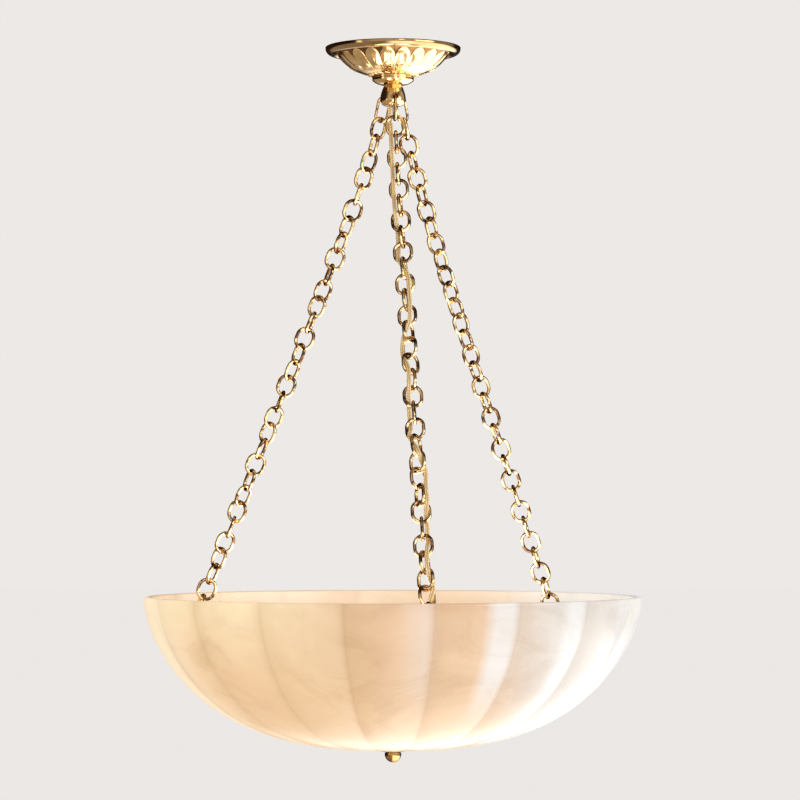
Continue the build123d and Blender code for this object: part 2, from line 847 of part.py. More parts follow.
def cord_woven():
    """Cord from the hub down the front chain to just under the rim of the bowl."""
    out = radial(cord_exit_azimuth) * cord_exit_radius
    points = [Vector(0, 0, cord_top_low - cord_start_gap)]
    points += [out - Vector(0, 0, drop) for drop in cord_mouth_drops]
    points += cord_through_links()
    leave, landing = cord_turn_in()
    points.append(leave + (landing - leave) * cord_split_share)
    return tube(away_from_lines(points), cord_radius, "woven cord")


def cord_in_bowl():
    """Cord from the front chain along the arm and down through the lid of the cluster."""
    leave, landing = cord_turn_in()
    out = radial(front_heading)
    side = tangent(front_heading)
    start = leave + (landing - leave) * cord_split_share + (landing - leave).normalized() * cord_split_gap
    beside = side * (arm_width / 2 + cord_radius + cord_side_gap)
    edge = out * cord_edge_place + Vector(0, 0, cord_on_arm)
    over = out * (cord_edge_place - cord_side_run) + beside + Vector(0, 0, cord_on_arm)
    down = over - Vector(0, 0, cord_side_drop)
    above = out * bushing_place + Vector(0, 0, cluster_top + cord_lid_space)
    end = out * bushing_place + Vector(0, 0, lid_low - cluster_lead_drop)
    return tube([start, landing, edge, over, down, above, end], cord_radius, "cord in the bowl")


def cord_bushing():
    """Flanged sleeve in the lid of the cluster."""
    spot = radial(front_heading) * bushing_place
    bore = cord_radius + cord_arm_gap
    seat = cluster_top + contact_gap
    sleeve = ring(bushing_neck_radius, bore, lid_low - bushing_flange, seat)
    sleeve += ring(bushing_radius, bore, seat, seat + bushing_flange)
    return Pos(spot.X, spot.Y, 0) * sleeve


def cord_ties():
    """Bands that hold the cord on the arm."""
    low = arm_low - contact_gap
    high = cord_on_arm + cord_radius + contact_gap
    width = arm_width + 2 * contact_gap
    ties = []
    for place in tie_places:
        outer = Box(tie_width, width + 2 * tie_thickness, high - low + 2 * tie_thickness)
        band = outer - Box(2 * tie_width, width, high - low)
        ties.append(about(front_heading, Pos(place, 0, (high + low) / 2) * band))
    return ties


def supply_leads():
    """Two leads that come up out of the nipple, over its edge and down into their connectors."""
    leads = []
    for side in (-1, 1):
        points = [Vector(0, side * lead_place, leads_start), Vector(0, side * lead_place, -lead_top_drop),
                  Vector(0, side * lead_drop_place, -lead_top_drop),
                  Vector(0, side * lead_drop_place, -connector_top - lead_engagement)]
        leads.append(tube(points, lead_radius, "supply lead"))
    return leads


def wire_connectors():
    """Cup-shaped connectors with a blind bore for the leads."""
    low = -connector_top - connector_height
    end = -connector_top - connector_bore_depth
    cup = polygon_turned((0, low), (connector_end_radius, low), (connector_radius, -connector_top),
                         (connector_bore, -connector_top), (connector_bore, end), (0, end))
    return [Pos(0, side * lead_drop_place, 0) * cup for side in (-1, 1)]


save("ceiling_bar", ceiling_bar())
save("ground_screw", ground_screw())
save("nipple", nipple())
save("locknuts", locknuts())
save("canopy", canopy())
save("supply_leads", *supply_leads())
save("wire_connectors", *wire_connectors())
save("cord_top", cord_top())
save("collar_ring", collar_ring())
save("bell_hub", bell_hub())
save("cord_woven", cord_woven())
for name, azimuth in chain_azimuths.items():
    save(f"hub_link_{name}", hub_link(azimuth))
    save(f"chain_{name}", *chain(name))
    save(f"eye_bolt_{name}", eye_bolt(name))
    save(f"arm_{name}", arm(name)[0])
save("eye_bolt_nuts", *eye_bolt_nuts())
save("centre_plate", centre_plate())
save("rivets", *rivets())
save("centre_rod", centre_rod())
save("rod_nuts", *rod_nuts())
save("cluster_body", cluster_body())
save("cluster_lid", cluster_lid())
save("stubs", *stubs())
for number, azimuth in enumerate(socket_azimuths, 1):
    save(f"socket_{number}", socket(azimuth))
    save(f"socket_shell_{number}", socket_shell(azimuth))
    save(f"lamp_base_{number}", lamp_base(azimuth))
    save(f"lamp_glass_{number}", lamp_glass(azimuth))
save("socket_leads", *socket_leads())
save("inner_washer", ring(inner_washer_radius, rod_radius + thread_gap, inner_washer_low,
                          inner_washer_low + inner_washer_thickness))
save("inner_rubber", ring(inner_rubber_radius, rod_radius + thread_gap, inner_rubber_low,
                          inner_rubber_low + inner_rubber_thickness))
save("outer_rubber", ring(outer_rubber_radius, rod_radius + thread_gap,
                          outer_rubber_top - outer_rubber_thickness, outer_rubber_top))
save("outer_washer", ring(outer_washer_radius, rod_radius + thread_gap,
                          outer_washer_top - outer_washer_thickness, outer_washer_top))
save("finial", finial())
save("glass_bowl", glass_bowl())
save("cord_in_bowl", cord_in_bowl())
save("cord_bushing", cord_bushing())
save("cord_ties", *cord_ties())

eye_radius_place, eye_height, slope = chain_line[-1]
chord = sqrt((eye_radius_place - hub_arc_radius) ** 2 + (hub_arc_height - eye_height) ** 2)
chord_slope = atan2(eye_radius_place - hub_arc_radius, hub_arc_height - eye_height)
apex_height = hub_arc_height + hub_arc_radius / tan(chord_slope)
turn_ratio = 1 + hub_arc_radius / sin(chord_slope) / chord
print(f"lowest slope {slope:.3f}, eye turn over chain turn {turn_ratio:.4f}, apex {apex_height:.3f}")
print(f"first link arcs at radius {hub_arc_radius:.3f}, height {hub_arc_height:.3f}, arm top {arm_top:.3f}")
print(f"bowl rim {bowl_rim:.3f}, bowl low {bowl_low:.3f}, sockets at {stub_height:.3f}")
print(f"cluster {cluster_top:.3f} to {cluster_low:.3f}, finial low {finial_top - finial_height:.3f}")
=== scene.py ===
import json
from math import atan, atan2, cos, pi, radians, sin, sqrt

import bpy
from mathutils import Matrix, Vector


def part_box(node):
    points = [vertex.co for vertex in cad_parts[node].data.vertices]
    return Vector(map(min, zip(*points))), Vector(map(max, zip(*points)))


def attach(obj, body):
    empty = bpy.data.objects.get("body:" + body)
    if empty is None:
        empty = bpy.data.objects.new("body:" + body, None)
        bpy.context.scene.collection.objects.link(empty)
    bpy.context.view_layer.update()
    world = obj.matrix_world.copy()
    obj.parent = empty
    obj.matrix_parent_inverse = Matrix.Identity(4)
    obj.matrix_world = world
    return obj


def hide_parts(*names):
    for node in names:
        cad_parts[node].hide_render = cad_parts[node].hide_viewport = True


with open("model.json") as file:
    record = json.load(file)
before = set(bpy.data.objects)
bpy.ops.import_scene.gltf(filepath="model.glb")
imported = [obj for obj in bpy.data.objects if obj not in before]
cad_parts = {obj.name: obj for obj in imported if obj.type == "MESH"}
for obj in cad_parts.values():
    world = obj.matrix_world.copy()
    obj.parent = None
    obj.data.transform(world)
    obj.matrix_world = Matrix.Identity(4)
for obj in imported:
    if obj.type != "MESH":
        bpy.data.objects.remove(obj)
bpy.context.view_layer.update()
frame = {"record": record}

# The object hangs from the ceiling plane, z = 0, on the vertical axis x = y = 0. -Y is the front.
# Lengths are in metres.


# Camera. The picture's size, the focal length, the eye level and the axis are in pixels of the photograph.
PICTURE = 800.0
FOCAL_PIXELS = 3274.0
EYE_LEVEL = 504.0
AXIS_COLUMN = 393.0
CAMERA_DISTANCE = 4.018
CAMERA_HEIGHT = -0.562
SENSOR = 36.0
FARTHEST_SEEN = 60.0


def add_camera():
    """Camera at the photograph's place: level with the lower part of the chains, tilted up a little."""
    data = bpy.data.cameras.new("camera")
    data.sensor_width = SENSOR
    data.lens = FOCAL_PIXELS * SENSOR / PICTURE
    data.clip_end = FARTHEST_SEEN
    camera = bpy.data.objects.new("camera", data)
    bpy.context.scene.collection.objects.link(camera)
    camera.location = (0.0, -CAMERA_DISTANCE, CAMERA_HEIGHT)
    tilt = atan((EYE_LEVEL - PICTURE / 2) / FOCAL_PIXELS)
    yaw = atan((PICTURE / 2 - AXIS_COLUMN) / FOCAL_PIXELS)
    camera.rotation_euler = (radians(90) + tilt, 0.0, -yaw)
    bpy.context.scene.camera = camera


# Nodes that the world and the materials share
def opaque(colour):
    """A colour with full alpha."""
    return (*colour, 1.0)


def colour_sockets(sockets):
    """The colour ones among the sockets of a Mix node."""
    return [socket for socket in sockets if socket.type == "RGBA"]


def blend_colour(tree, share, first, second):
    """Colour between two colours or sockets."""
    node = tree.nodes.new("ShaderNodeMix")
    node.data_type = "RGBA"
    tree.links.new(share, node.inputs["Factor"])
    for entry, value in zip(colour_sockets(node.inputs), (first, second)):
        if isinstance(value, tuple):
            entry.default_value = opaque(value)
        else:
            tree.links.new(value, entry)
    return colour_sockets(node.outputs)[0]


def multiply_colour(tree, first, second):
    node = tree.nodes.new("ShaderNodeMix")
    node.data_type = "RGBA"
    node.blend_type = "MULTIPLY"
    node.inputs["Factor"].default_value = 1.0
    for entry, value in zip(colour_sockets(node.inputs), (first, second)):
        tree.links.new(value, entry)
    return colour_sockets(node.outputs)[0]


def calculate(tree, operation, *values):
    """Math node with numbers or sockets for its inputs."""
    node = tree.nodes.new("ShaderNodeMath")
    node.operation = operation
    for entry, value in zip(node.inputs, values):
        if isinstance(value, float):
            entry.default_value = value
        else:
            tree.links.new(value, entry)
    return node.outputs["Value"]


def step_between(tree, value, start, end):
    """Smooth step from 0 at the start to 1 at the end."""
    node = tree.nodes.new("ShaderNodeMapRange")
    node.interpolation_type = "SMOOTHSTEP"
    node.inputs["From Min"].default_value = start
    node.inputs["From Max"].default_value = end
    tree.links.new(value, node.inputs["Value"])
    return node.outputs["Result"]


def separate(tree, vector):
    """The three parts of a vector."""
    parts = tree.nodes.new("ShaderNodeSeparateXYZ")
    tree.links.new(vector, parts.inputs["Vector"])
    return parts.outputs


# Room and lights. Each edge of a panel is where it starts to show and where it is full, as parts of the
# unit vector to the right, to the back or up.
BACKGROUND = (0.847, 0.815, 0.791)
ROOM_DARK = (0.040, 0.024, 0.014)
ROOM_FRONT = (0.50, 0.42, 0.33)
ROOM_FRONT_GLARE = (1.15, 1.06, 0.94)
ROOM_WHITE = (0.62, 0.61, 0.60)
ROOM_GLARE = (4.6, 4.5, 4.3)
ROOM_BEIGE = (0.62, 0.53, 0.43)
ROOM_TOP = (0.30, 0.26, 0.22)
ROOM_STRENGTH = 0.8
FRONT_PANEL_EDGE = (-0.30, -0.94)
SIDE_PANEL_EDGE = (0.74, 0.90)
SIDE_PANEL_TOP = (0.75, 0.45)
LOW_PANEL_EDGE = (-0.22, -0.42)
LOW_PANEL_MIDDLE = (-0.25, 0.12)
TOP_PANEL_EDGE = (0.72, 0.92)


def room_colour(tree, glossy):
    """Dark behind, gold in front, bright on the right and below, brighter again in a reflection."""
    way = tree.nodes.new("ShaderNodeTexCoord")
    right, back, up = separate(tree, way.outputs["Generated"])
    front = blend_colour(tree, glossy, ROOM_FRONT, ROOM_FRONT_GLARE)
    colour = blend_colour(tree, step_between(tree, back, *FRONT_PANEL_EDGE), ROOM_DARK, front)
    side_share = calculate(tree, "MULTIPLY", step_between(tree, right, *SIDE_PANEL_EDGE),
                           step_between(tree, up, *SIDE_PANEL_TOP))
    colour = blend_colour(tree, side_share, colour, ROOM_WHITE)
    low_white = blend_colour(tree, glossy, ROOM_WHITE, ROOM_GLARE)
    low = blend_colour(tree, step_between(tree, right, *LOW_PANEL_MIDDLE), ROOM_BEIGE, low_white)
    colour = blend_colour(tree, step_between(tree, up, *LOW_PANEL_EDGE), colour, low)
    return blend_colour(tree, step_between(tree, up, *TOP_PANEL_EDGE), colour, ROOM_TOP)


def add_world():
    """Pale to the camera. The room lights the object and is mirrored in it."""
    world = bpy.data.worlds.new("studio")
    bpy.context.scene.world = world
    world.use_nodes = True
    tree = world.node_tree
    tree.nodes.clear()
    path = tree.nodes.new("ShaderNodeLightPath")
    room = tree.nodes.new("ShaderNodeBackground")
    room.inputs["Strength"].default_value = ROOM_STRENGTH
    tree.links.new(room_colour(tree, path.outputs["Is Glossy Ray"]), room.inputs["Color"])
    pale = tree.nodes.new("ShaderNodeBackground")
    pale.inputs["Color"].default_value = opaque(BACKGROUND)
    mix = tree.nodes.new("ShaderNodeMixShader")
    tree.links.new(path.outputs["Is Camera Ray"], mix.inputs["Fac"])
    tree.links.new(room.outputs["Background"], mix.inputs[1])
    tree.links.new(pale.outputs["Background"], mix.inputs[2])
    out = tree.nodes.new("ShaderNodeOutputWorld")
    tree.links.new(mix.outputs["Shader"], out.inputs["Surface"])


def area_light(name, place, aim, size, power, colour):
    data = bpy.data.lights.new(name, "AREA")
    data.shape = "RECTANGLE"
    data.size, data.size_y = size
    data.energy = power
    data.color = colour
    light = bpy.data.objects.new(name, data)
    bpy.context.scene.collection.objects.link(light)
    light.location = place
    light.rotation_euler = (Vector(aim) - Vector(place)).to_track_quat("-Z", "Y").to_euler()
    return light


def add_lights():
    """A large key light on the right, a strip in front, a weak fill on the left and one in the bowl."""
    area_light("key_right", place=(2.7, -1.9, 0.2), aim=(0.0, 0.0, -0.6), size=(2.0, 1.6), power=52.0,
               colour=(0.97, 0.985, 1.0))
    area_light("front_strip", place=(0.9, -3.6, 0.9), aim=(0.0, 0.0, -0.5), size=(0.5, 1.6), power=16.0,
               colour=(1.0, 0.98, 0.95))
    area_light("fill_left", place=(-3.0, -1.8, -0.4), aim=(0.0, 0.0, -0.6), size=(0.5, 2.0), power=9.0,
               colour=(1.0, 0.95, 0.88))
    bowl_light = area_light("bowl_light", place=(0.0, 0.0, -0.70), aim=(0.0, 0.0, 0.0), size=(0.36, 0.36),
                            power=3.0, colour=(1.0, 0.93, 0.82))
    bowl_light.visible_camera = False


# Floor
FLOOR_SIZE = 60.0
FLOOR_HEIGHT = -1.45
FLOOR_COLOUR = (0.02, 0.02, 0.02)
FLOOR_ROUGHNESS = 0.9
FLOOR_GLOW = 0.985


def floor_paint():
    """As pale as the background, so that no edge shows where they meet."""
    material = new_material("floor")
    shader = principled(material)
    shader.inputs["Base Color"].default_value = opaque(FLOOR_COLOUR)
    shader.inputs["Roughness"].default_value = FLOOR_ROUGHNESS
    shader.inputs["Specular IOR Level"].default_value = 0.0
    shader.inputs["Emission Color"].default_value = opaque(BACKGROUND)
    shader.inputs["Emission Strength"].default_value = FLOOR_GLOW
    return material


def add_stage():
    bpy.ops.mesh.primitive_plane_add(size=FLOOR_SIZE, location=(0.0, 0.0, FLOOR_HEIGHT))
    floor = bpy.context.object
    floor.name = "floor"
    floor.visible_glossy = False
    floor.visible_diffuse = False
    floor.data.materials.append(floor_paint())


# Material helpers. A ramp's stops are pairs of a position and a colour.
def new_material(name):
    material = bpy.data.materials.new(name)
    material.use_nodes = True
    return material


def principled(material):
    return material.node_tree.nodes["Principled BSDF"]


def link(material, socket, name):
    material.node_tree.links.new(socket, principled(material).inputs[name])


def attribute(material, name):
    node = material.node_tree.nodes.new("ShaderNodeAttribute")
    node.attribute_name = name
    return node.outputs["Fac"]


def object_place(tree):
    return tree.nodes.new("ShaderNodeTexCoord").outputs["Object"]


def noise(material, scale, detail=4.0, roughness=0.55, distortion=0.0, stretch=(1.0, 1.0, 1.0)):
    """Noise on the object's own coordinates, in cells per metre."""
    tree = material.node_tree
    mapping = tree.nodes.new("ShaderNodeMapping")
    mapping.inputs["Scale"].default_value = stretch
    tree.links.new(object_place(tree), mapping.inputs["Vector"])
    texture = tree.nodes.new("ShaderNodeTexNoise")
    texture.inputs["Scale"].default_value = scale
    texture.inputs["Detail"].default_value = detail
    texture.inputs["Roughness"].default_value = roughness
    texture.inputs["Distortion"].default_value = distortion
    tree.links.new(mapping.outputs["Vector"], texture.inputs["Vector"])
    return texture.outputs["Fac"]


def ramp(material, value, *stops):
    tree = material.node_tree
    node = tree.nodes.new("ShaderNodeValToRGB")
    elements = node.color_ramp.elements
    elements[0].position, elements[0].color = stops[0][0], opaque(stops[0][1])
    elements[1].position, elements[1].color = stops[-1][0], opaque(stops[-1][1])
    for position, colour in stops[1:-1]:
        elements.new(position).color = opaque(colour)
    tree.links.new(value, node.inputs["Fac"])
    return node.outputs["Color"]


NOISE_LOW, NOISE_HIGH = 0.3, 0.7


def spread(material, value, low, high):
    """Map the part of a noise between its low and high values to a range of numbers."""
    tree = material.node_tree
    node = tree.nodes.new("ShaderNodeMapRange")
    node.inputs["From Min"].default_value = NOISE_LOW
    node.inputs["From Max"].default_value = NOISE_HIGH
    node.inputs["To Min"].default_value = low
    node.inputs["To Max"].default_value = high
    tree.links.new(value, node.inputs["Value"])
    return node.outputs["Result"]


def bump(material, value, distance, strength=1.0):
    tree = material.node_tree
    node = tree.nodes.new("ShaderNodeBump")
    node.inputs["Strength"].default_value = strength
    node.inputs["Distance"].default_value = distance
    tree.links.new(value, node.inputs["Height"])
    return node.outputs["Normal"]


POLISH_FINENESS, HAIR_FINENESS = 2.7, 12.0
HAIR_STRETCH, HAIR_DEPTH = (1.0, 1.0, 6.0), 0.00002


def metal(name, dark, light, low, high, scale=60.0, worn=(0.35, 0.62), edge=None, recess=None):
    """Polished or satin metal with faint tarnish, uneven polish and hair scratches.

    The roughness runs from low to high. Worn is where the tarnish noise turns from the dark to the light
    colour, edge tints the reflection at a grazing angle, and recess is the colour deep in the relief.
    """
    material = new_material(name)
    shader = principled(material)
    shader.inputs["Metallic"].default_value = 1.0
    tarnish = noise(material, scale, detail=5.0)
    colour = ramp(material, tarnish, (worn[0], dark), (worn[1], light))
    if edge is not None:
        shader.inputs["Specular Tint"].default_value = opaque(edge)
    if recess is not None:
        colour = blend_colour(material.node_tree, attribute(material, "recess"), colour, recess)
    link(material, colour, "Base Color")
    polish = noise(material, scale * POLISH_FINENESS, detail=6.0, roughness=0.7)
    link(material, spread(material, polish, low, high), "Roughness")
    hair = noise(material, scale * HAIR_FINENESS, detail=2.0, roughness=0.5, stretch=HAIR_STRETCH)
    link(material, bump(material, hair, HAIR_DEPTH), "Normal")
    return material


SPOT_SCALE, SPOT_DARK, SPOT_LIGHT = 220.0, 0.35, 0.65
GRAIN_SCALE, GRAIN_DEPTH = 1760.0, 0.00004


def plastic(name, dark, light, low, high):
    """Moulded plastic or rubber with a fine grain. The roughness runs from low to high."""
    material = new_material(name)
    spots = noise(material, SPOT_SCALE)
    link(material, ramp(material, spots, (SPOT_DARK, dark), (SPOT_LIGHT, light)), "Base Color")
    link(material, spread(material, spots, low, high), "Roughness")
    grain = noise(material, GRAIN_SCALE, detail=2.0)
    link(material, bump(material, grain, GRAIN_DEPTH), "Normal")
    return material


# Metals
BRASS_EDGE = (0.20, 0.11, 0.06)


def polished_brass():
    return metal("polished_brass", dark=(0.66, 0.42, 0.18), light=(0.84, 0.60, 0.31), low=0.07, high=0.15,
                 recess=(0.20, 0.10, 0.04))


def chain_brass():
    """Brown patina worn through to the gold."""
    return metal("chain_brass", dark=(0.11, 0.055, 0.025), light=(0.90, 0.64, 0.34), low=0.08, high=0.16,
                 scale=85.0, worn=(0.42, 0.54), edge=BRASS_EDGE)


# Brass of a darker tone, for the finial and the outer washer.
def darker_brass():
    return metal("darker_brass", dark=(0.34, 0.18, 0.06), light=(0.56, 0.33, 0.13), low=0.10, high=0.20,
                 edge=BRASS_EDGE)


def zinc_steel():
    return metal("zinc_steel", dark=(0.45, 0.44, 0.42), light=(0.66, 0.65, 0.62), low=0.25, high=0.42)


def lamp_metal():
    return metal("lamp_metal", dark=(0.50, 0.49, 0.46), light=(0.75, 0.74, 0.70), low=0.2, high=0.35)


# Paint, plastic and rubber
def ground_screw_paint():
    return plastic("ground_screw_paint", dark=(0.02, 0.16, 0.05), light=(0.04, 0.24, 0.08), low=0.3,
                   high=0.45)


def lead_jacket():
    return plastic("lead_jacket", dark=(0.70, 0.68, 0.60), light=(0.80, 0.78, 0.72), low=0.4, high=0.55)


def connector_plastic():
    return plastic("connector_plastic", dark=(0.70, 0.22, 0.03), light=(0.85, 0.32, 0.05), low=0.25, high=0.4)


def black_plastic():
    return plastic("black_plastic", dark=(0.012, 0.012, 0.012), light=(0.03, 0.03, 0.03), low=0.4, high=0.6)


def socket_body():
    return plastic("socket_body", dark=(0.66, 0.63, 0.56), light=(0.80, 0.78, 0.72), low=0.3, high=0.5)


def rubber():
    return plastic("rubber", dark=(0.015, 0.015, 0.015), light=(0.035, 0.033, 0.03), low=0.6, high=0.85)


# Lamps. They hang in the bowl at three azimuths, at one distance from the axis.
LAMP_AZIMUTHS = (69.0, 189.0, 309.0)
LAMP_REACH, LAMP_HEIGHT = 0.124, -0.782
LAMP_ROUGHNESS = 0.35
LAMP_STRENGTH = 2.2
LAMP_FROST = ((0.3, (0.90, 0.84, 0.74)), (0.7, (0.97, 0.93, 0.86)))
LAMP_LIGHT = ((0.3, (1.0, 0.80, 0.52)), (0.7, (1.0, 0.86, 0.62)))


def lamp_frosted_glass():
    material = new_material("lamp_frosted_glass")
    shader = principled(material)
    shader.inputs["Roughness"].default_value = LAMP_ROUGHNESS
    shader.inputs["Emission Strength"].default_value = LAMP_STRENGTH
    cloud = noise(material, scale=30.0, detail=3.0)
    link(material, ramp(material, cloud, *LAMP_FROST), "Base Color")
    link(material, ramp(material, cloud, *LAMP_LIGHT), "Emission Color")
    return material


# Bowl glass. Its emission paints the light of the lamps coming through it, warm near them and cream on the
# left, and paints the white of the key light on the right, with painted highlights, painted bright ends and
# painted shade in the creases.
# Each change is where the second colour starts to show and where it is full, in metres.
GLASS_COAT, GLASS_COAT_ROUGHNESS = 0.22, 0.14
GLASS_REFLECTION = 0.15
GLASS_GLOW = 0.60
GLASS_BODY = ((0.30, (0.31, 0.27, 0.22)), (0.50, (0.34, 0.31, 0.27)), (0.70, (0.37, 0.34, 0.30)))
GLASS_MOTTLE = ((0.34, (0.90, 0.87, 0.84)), (0.46, (0.985, 0.98, 0.975)), (0.56, (1.0, 1.0, 1.0)),
                (0.68, (1.05, 1.05, 1.06)))
FAR_GLOW = ((0.32, (0.90, 0.50, 0.23)), (0.68, (1.06, 0.66, 0.35)))
NEAR_GLOW = ((0.30, (1.20, 0.76, 0.40)), (0.70, (1.26, 0.84, 0.46)))
NEAR_DISTANCES = (0.255, 0.135)
NEAR_CHANGE = (0.16, 0.02)
# Painted light: a cream glow on the left, and on the right the white of the key light.
LEFT_GLOW, LEFT_CHANGE = (1.56, 1.30, 0.82), (0.0, -0.21)
RIGHT_GLOW, RIGHT_CHANGE = (0.92, 0.86, 0.82), (0.08, 0.20)
# Painted light on the inside of the bowl: warm on the left, white on the right.
INSIDE_LEFT_GLOW, INSIDE_RIGHT_GLOW = (0.95, 0.66, 0.42), (1.05, 1.02, 0.98)
INSIDE_CHANGE = (0.08, 0.24)
# Painted light at the left and right ends of the bowl: cream on the left, white on the right.
LEFT_EDGE_LIGHT, RIGHT_EDGE_LIGHT = (1.62, 1.36, 0.98), (1.36, 1.34, 1.32)
EDGE_LIGHT_CHANGE = (-0.05, 0.05)
EDGE_LIGHT_START, EDGE_LIGHT_END = (0.85, 1.50), (2.50, 1.90)
LOBE_SHADE = ((0.0, (0.84, 0.80, 0.76)), (0.05, (0.92, 0.90, 0.87)), (0.22, (0.97, 0.96, 0.95)),
              (0.60, (1.0, 1.0, 1.0)), (0.90, (0.97, 0.96, 0.95)), (1.0, (0.90, 0.87, 0.84)))
# Painted highlights: white streaks down the lobes on the right.
HIGHLIGHT_FLANK = ((0.0, (0.35, 0.35, 0.35)), (0.08, (0.0, 0.0, 0.0)), (0.56, (0.0, 0.0, 0.0)),
                (0.72, (1.0, 1.0, 1.0)), (0.93, (1.0, 1.0, 1.0)), (1.0, (0.35, 0.35, 0.35)))
HIGHLIGHT_WHITE = (1.10, 1.12, 1.16)
HIGHLIGHT_SHARE = 0.8
HIGHLIGHT_CHANGE = (-0.02, 0.11)
HIGHLIGHT_HEIGHTS = (-0.83, -0.75)


def bowl_place(tree):
    """Place on the bowl: to the right, up, turn from the front, and 0 to 1 across a lobe."""
    sideways, back, up = separate(tree, object_place(tree))
    turn = calculate(tree, "ARCTAN2", sideways, calculate(tree, "MULTIPLY", back, -1.0))
    from_valley = calculate(tree, "SUBTRACT", turn, radians(FIRST_VALLEY))
    lobe = calculate(tree, "DIVIDE", from_valley, 2.0 * pi / LOBES)
    return sideways, up, turn, calculate(tree, "FRACT", lobe)


def lamp_nearness(tree):
    """1 on the glass nearest to a lamp, 0 where the lamps are far."""
    distances = []
    for azimuth in LAMP_AZIMUTHS:
        away = tree.nodes.new("ShaderNodeVectorMath")
        away.operation = "DISTANCE"
        tree.links.new(object_place(tree), away.inputs[0])
        away.inputs[1].default_value = (*(radial(azimuth) * LAMP_REACH).xy, LAMP_HEIGHT)
        distances.append(away.outputs["Value"])
    nearest = distances[0]
    for distance in distances[1:]:
        nearest = calculate(tree, "MINIMUM", nearest, distance)
    return step_between(tree, nearest, *NEAR_DISTANCES)


def lamp_colour(material, sideways):
    """Painted light in the glass: the lamps' light, cloudy and uneven, a cream glow on the left, and the
    white of the key light on the right.
    """
    tree = material.node_tree
    cloud = noise(material, scale=6.0, detail=6.0, roughness=0.6, distortion=0.8)
    far = ramp(material, cloud, *FAR_GLOW)
    far = blend_colour(tree, step_between(tree, sideways, *LEFT_CHANGE), far, LEFT_GLOW)
    far = blend_colour(tree, step_between(tree, sideways, *RIGHT_CHANGE), far, RIGHT_GLOW)
    near_share = calculate(tree, "MULTIPLY", lamp_nearness(tree), step_between(tree, sideways, *NEAR_CHANGE))
    return blend_colour(tree, near_share, far, ramp(material, cloud, *NEAR_GLOW))


def painted_highlight_share(material, sideways, up, across):
    """Painted highlights: white streaks down one flank of each lobe on the right, where the lights on the
    right are mirrored.
    """
    tree = material.node_tree
    flank = ramp(material, across, *HIGHLIGHT_FLANK)
    lit = calculate(tree, "MULTIPLY", step_between(tree, sideways, *HIGHLIGHT_CHANGE),
                    step_between(tree, up, *HIGHLIGHT_HEIGHTS))
    return calculate(tree, "MULTIPLY", calculate(tree, "MULTIPLY", flank, lit), HIGHLIGHT_SHARE)


def painted_edge_light_share(tree, turn):
    """Share of painted light: 1 at the left and right ends of the bowl, 0 in front and behind."""
    turned = calculate(tree, "ABSOLUTE", turn)
    return calculate(tree, "MULTIPLY", step_between(tree, turned, *EDGE_LIGHT_START),
                     step_between(tree, turned, *EDGE_LIGHT_END))


def alabaster_glass():
    """Cast glass that looks like alabaster: milky, cloudy, with soft warm veins. Its emission paints the
    lamps' light inside it and the white key light on the right, with painted highlights, painted bright ends,
    and painted shade in the creases.
    """
    material = new_material("alabaster_glass")
    tree = material.node_tree
    shader = principled(material)
    shader.inputs["Coat Weight"].default_value = GLASS_COAT
    shader.inputs["Coat Roughness"].default_value = GLASS_COAT_ROUGHNESS
    shader.inputs["Specular IOR Level"].default_value = GLASS_REFLECTION
    shader.inputs["Emission Strength"].default_value = GLASS_GLOW
    vein = noise(material, scale=9.0, detail=8.0, roughness=0.6, distortion=1.2, stretch=(1.0, 1.0, 1.8))
    sideways, up, turn, across = bowl_place(tree)
    shade = ramp(material, across, *LOBE_SHADE)
    link(material, multiply_colour(tree, ramp(material, vein, *GLASS_BODY), shade), "Base Color")
    # Painted highlights: white streaks mixed into the glow on the right-hand lobes.
    painted_highlights = painted_highlight_share(material, sideways, up, across)
    glow = blend_colour(tree, painted_highlights, lamp_colour(material, sideways), HIGHLIGHT_WHITE)
    glow = multiply_colour(tree, glow, ramp(material, vein, *GLASS_MOTTLE))
    # Painted light: the left and right ends of the bowl are brightened, cream on the left and white on the
    # right.
    edge = blend_colour(tree, step_between(tree, sideways, *EDGE_LIGHT_CHANGE), LEFT_EDGE_LIGHT, RIGHT_EDGE_LIGHT)
    glow = blend_colour(tree, painted_edge_light_share(tree, turn), multiply_colour(tree, glow, shade), edge)
    # Painted light on the inside of the bowl, warm on the left and white on the right.
    inside = blend_colour(tree, step_between(tree, sideways, *INSIDE_CHANGE), INSIDE_LEFT_GLOW, INSIDE_RIGHT_GLOW)
    link(material, blend_colour(tree, attribute(material, "inside"), glow, inside), "Emission Color")
    link(material, spread(material, vein, low=0.22, high=0.36), "Roughness")
    waves = noise(material, scale=24.0, detail=3.0)
    link(material, bump(material, waves, distance=0.0012, strength=0.25), "Normal")
    return material


# Cord jacket. Its UV map runs along the cord in metres, and from -1 to 1 across it.
STRAND_DARK = (0.72, 0.44, 0.16)
STRAND_LIGHT = (0.88, 0.62, 0.28)
STRAND_PALE = (0.98, 0.80, 0.46)
STRAND_PITCH, STRAND_SLANT = 0.0032, 0.0012
JACKET_SHADE = ((0.0, (0.55, 0.50, 0.42)), (0.16, (0.85, 0.83, 0.80)), (0.75, (1.0, 1.0, 1.0)),
                (1.0, (1.0, 1.0, 1.0)))
JACKET_COAT, JACKET_COAT_ROUGHNESS = 0.8, 0.10
# Painted light: a weak emission of the cord's own colour.
JACKET_GLOW = 0.16


def strand_relief(tree, along, across):
    """Slanting strands, 1 on top of each and 0 between them."""
    slanted = calculate(tree, "ADD", along, calculate(tree, "MULTIPLY", across, STRAND_SLANT))
    turns = calculate(tree, "MULTIPLY", slanted, 2.0 * pi / STRAND_PITCH)
    return calculate(tree, "MULTIPLY_ADD", calculate(tree, "SINE", turns), 0.5, 0.5)


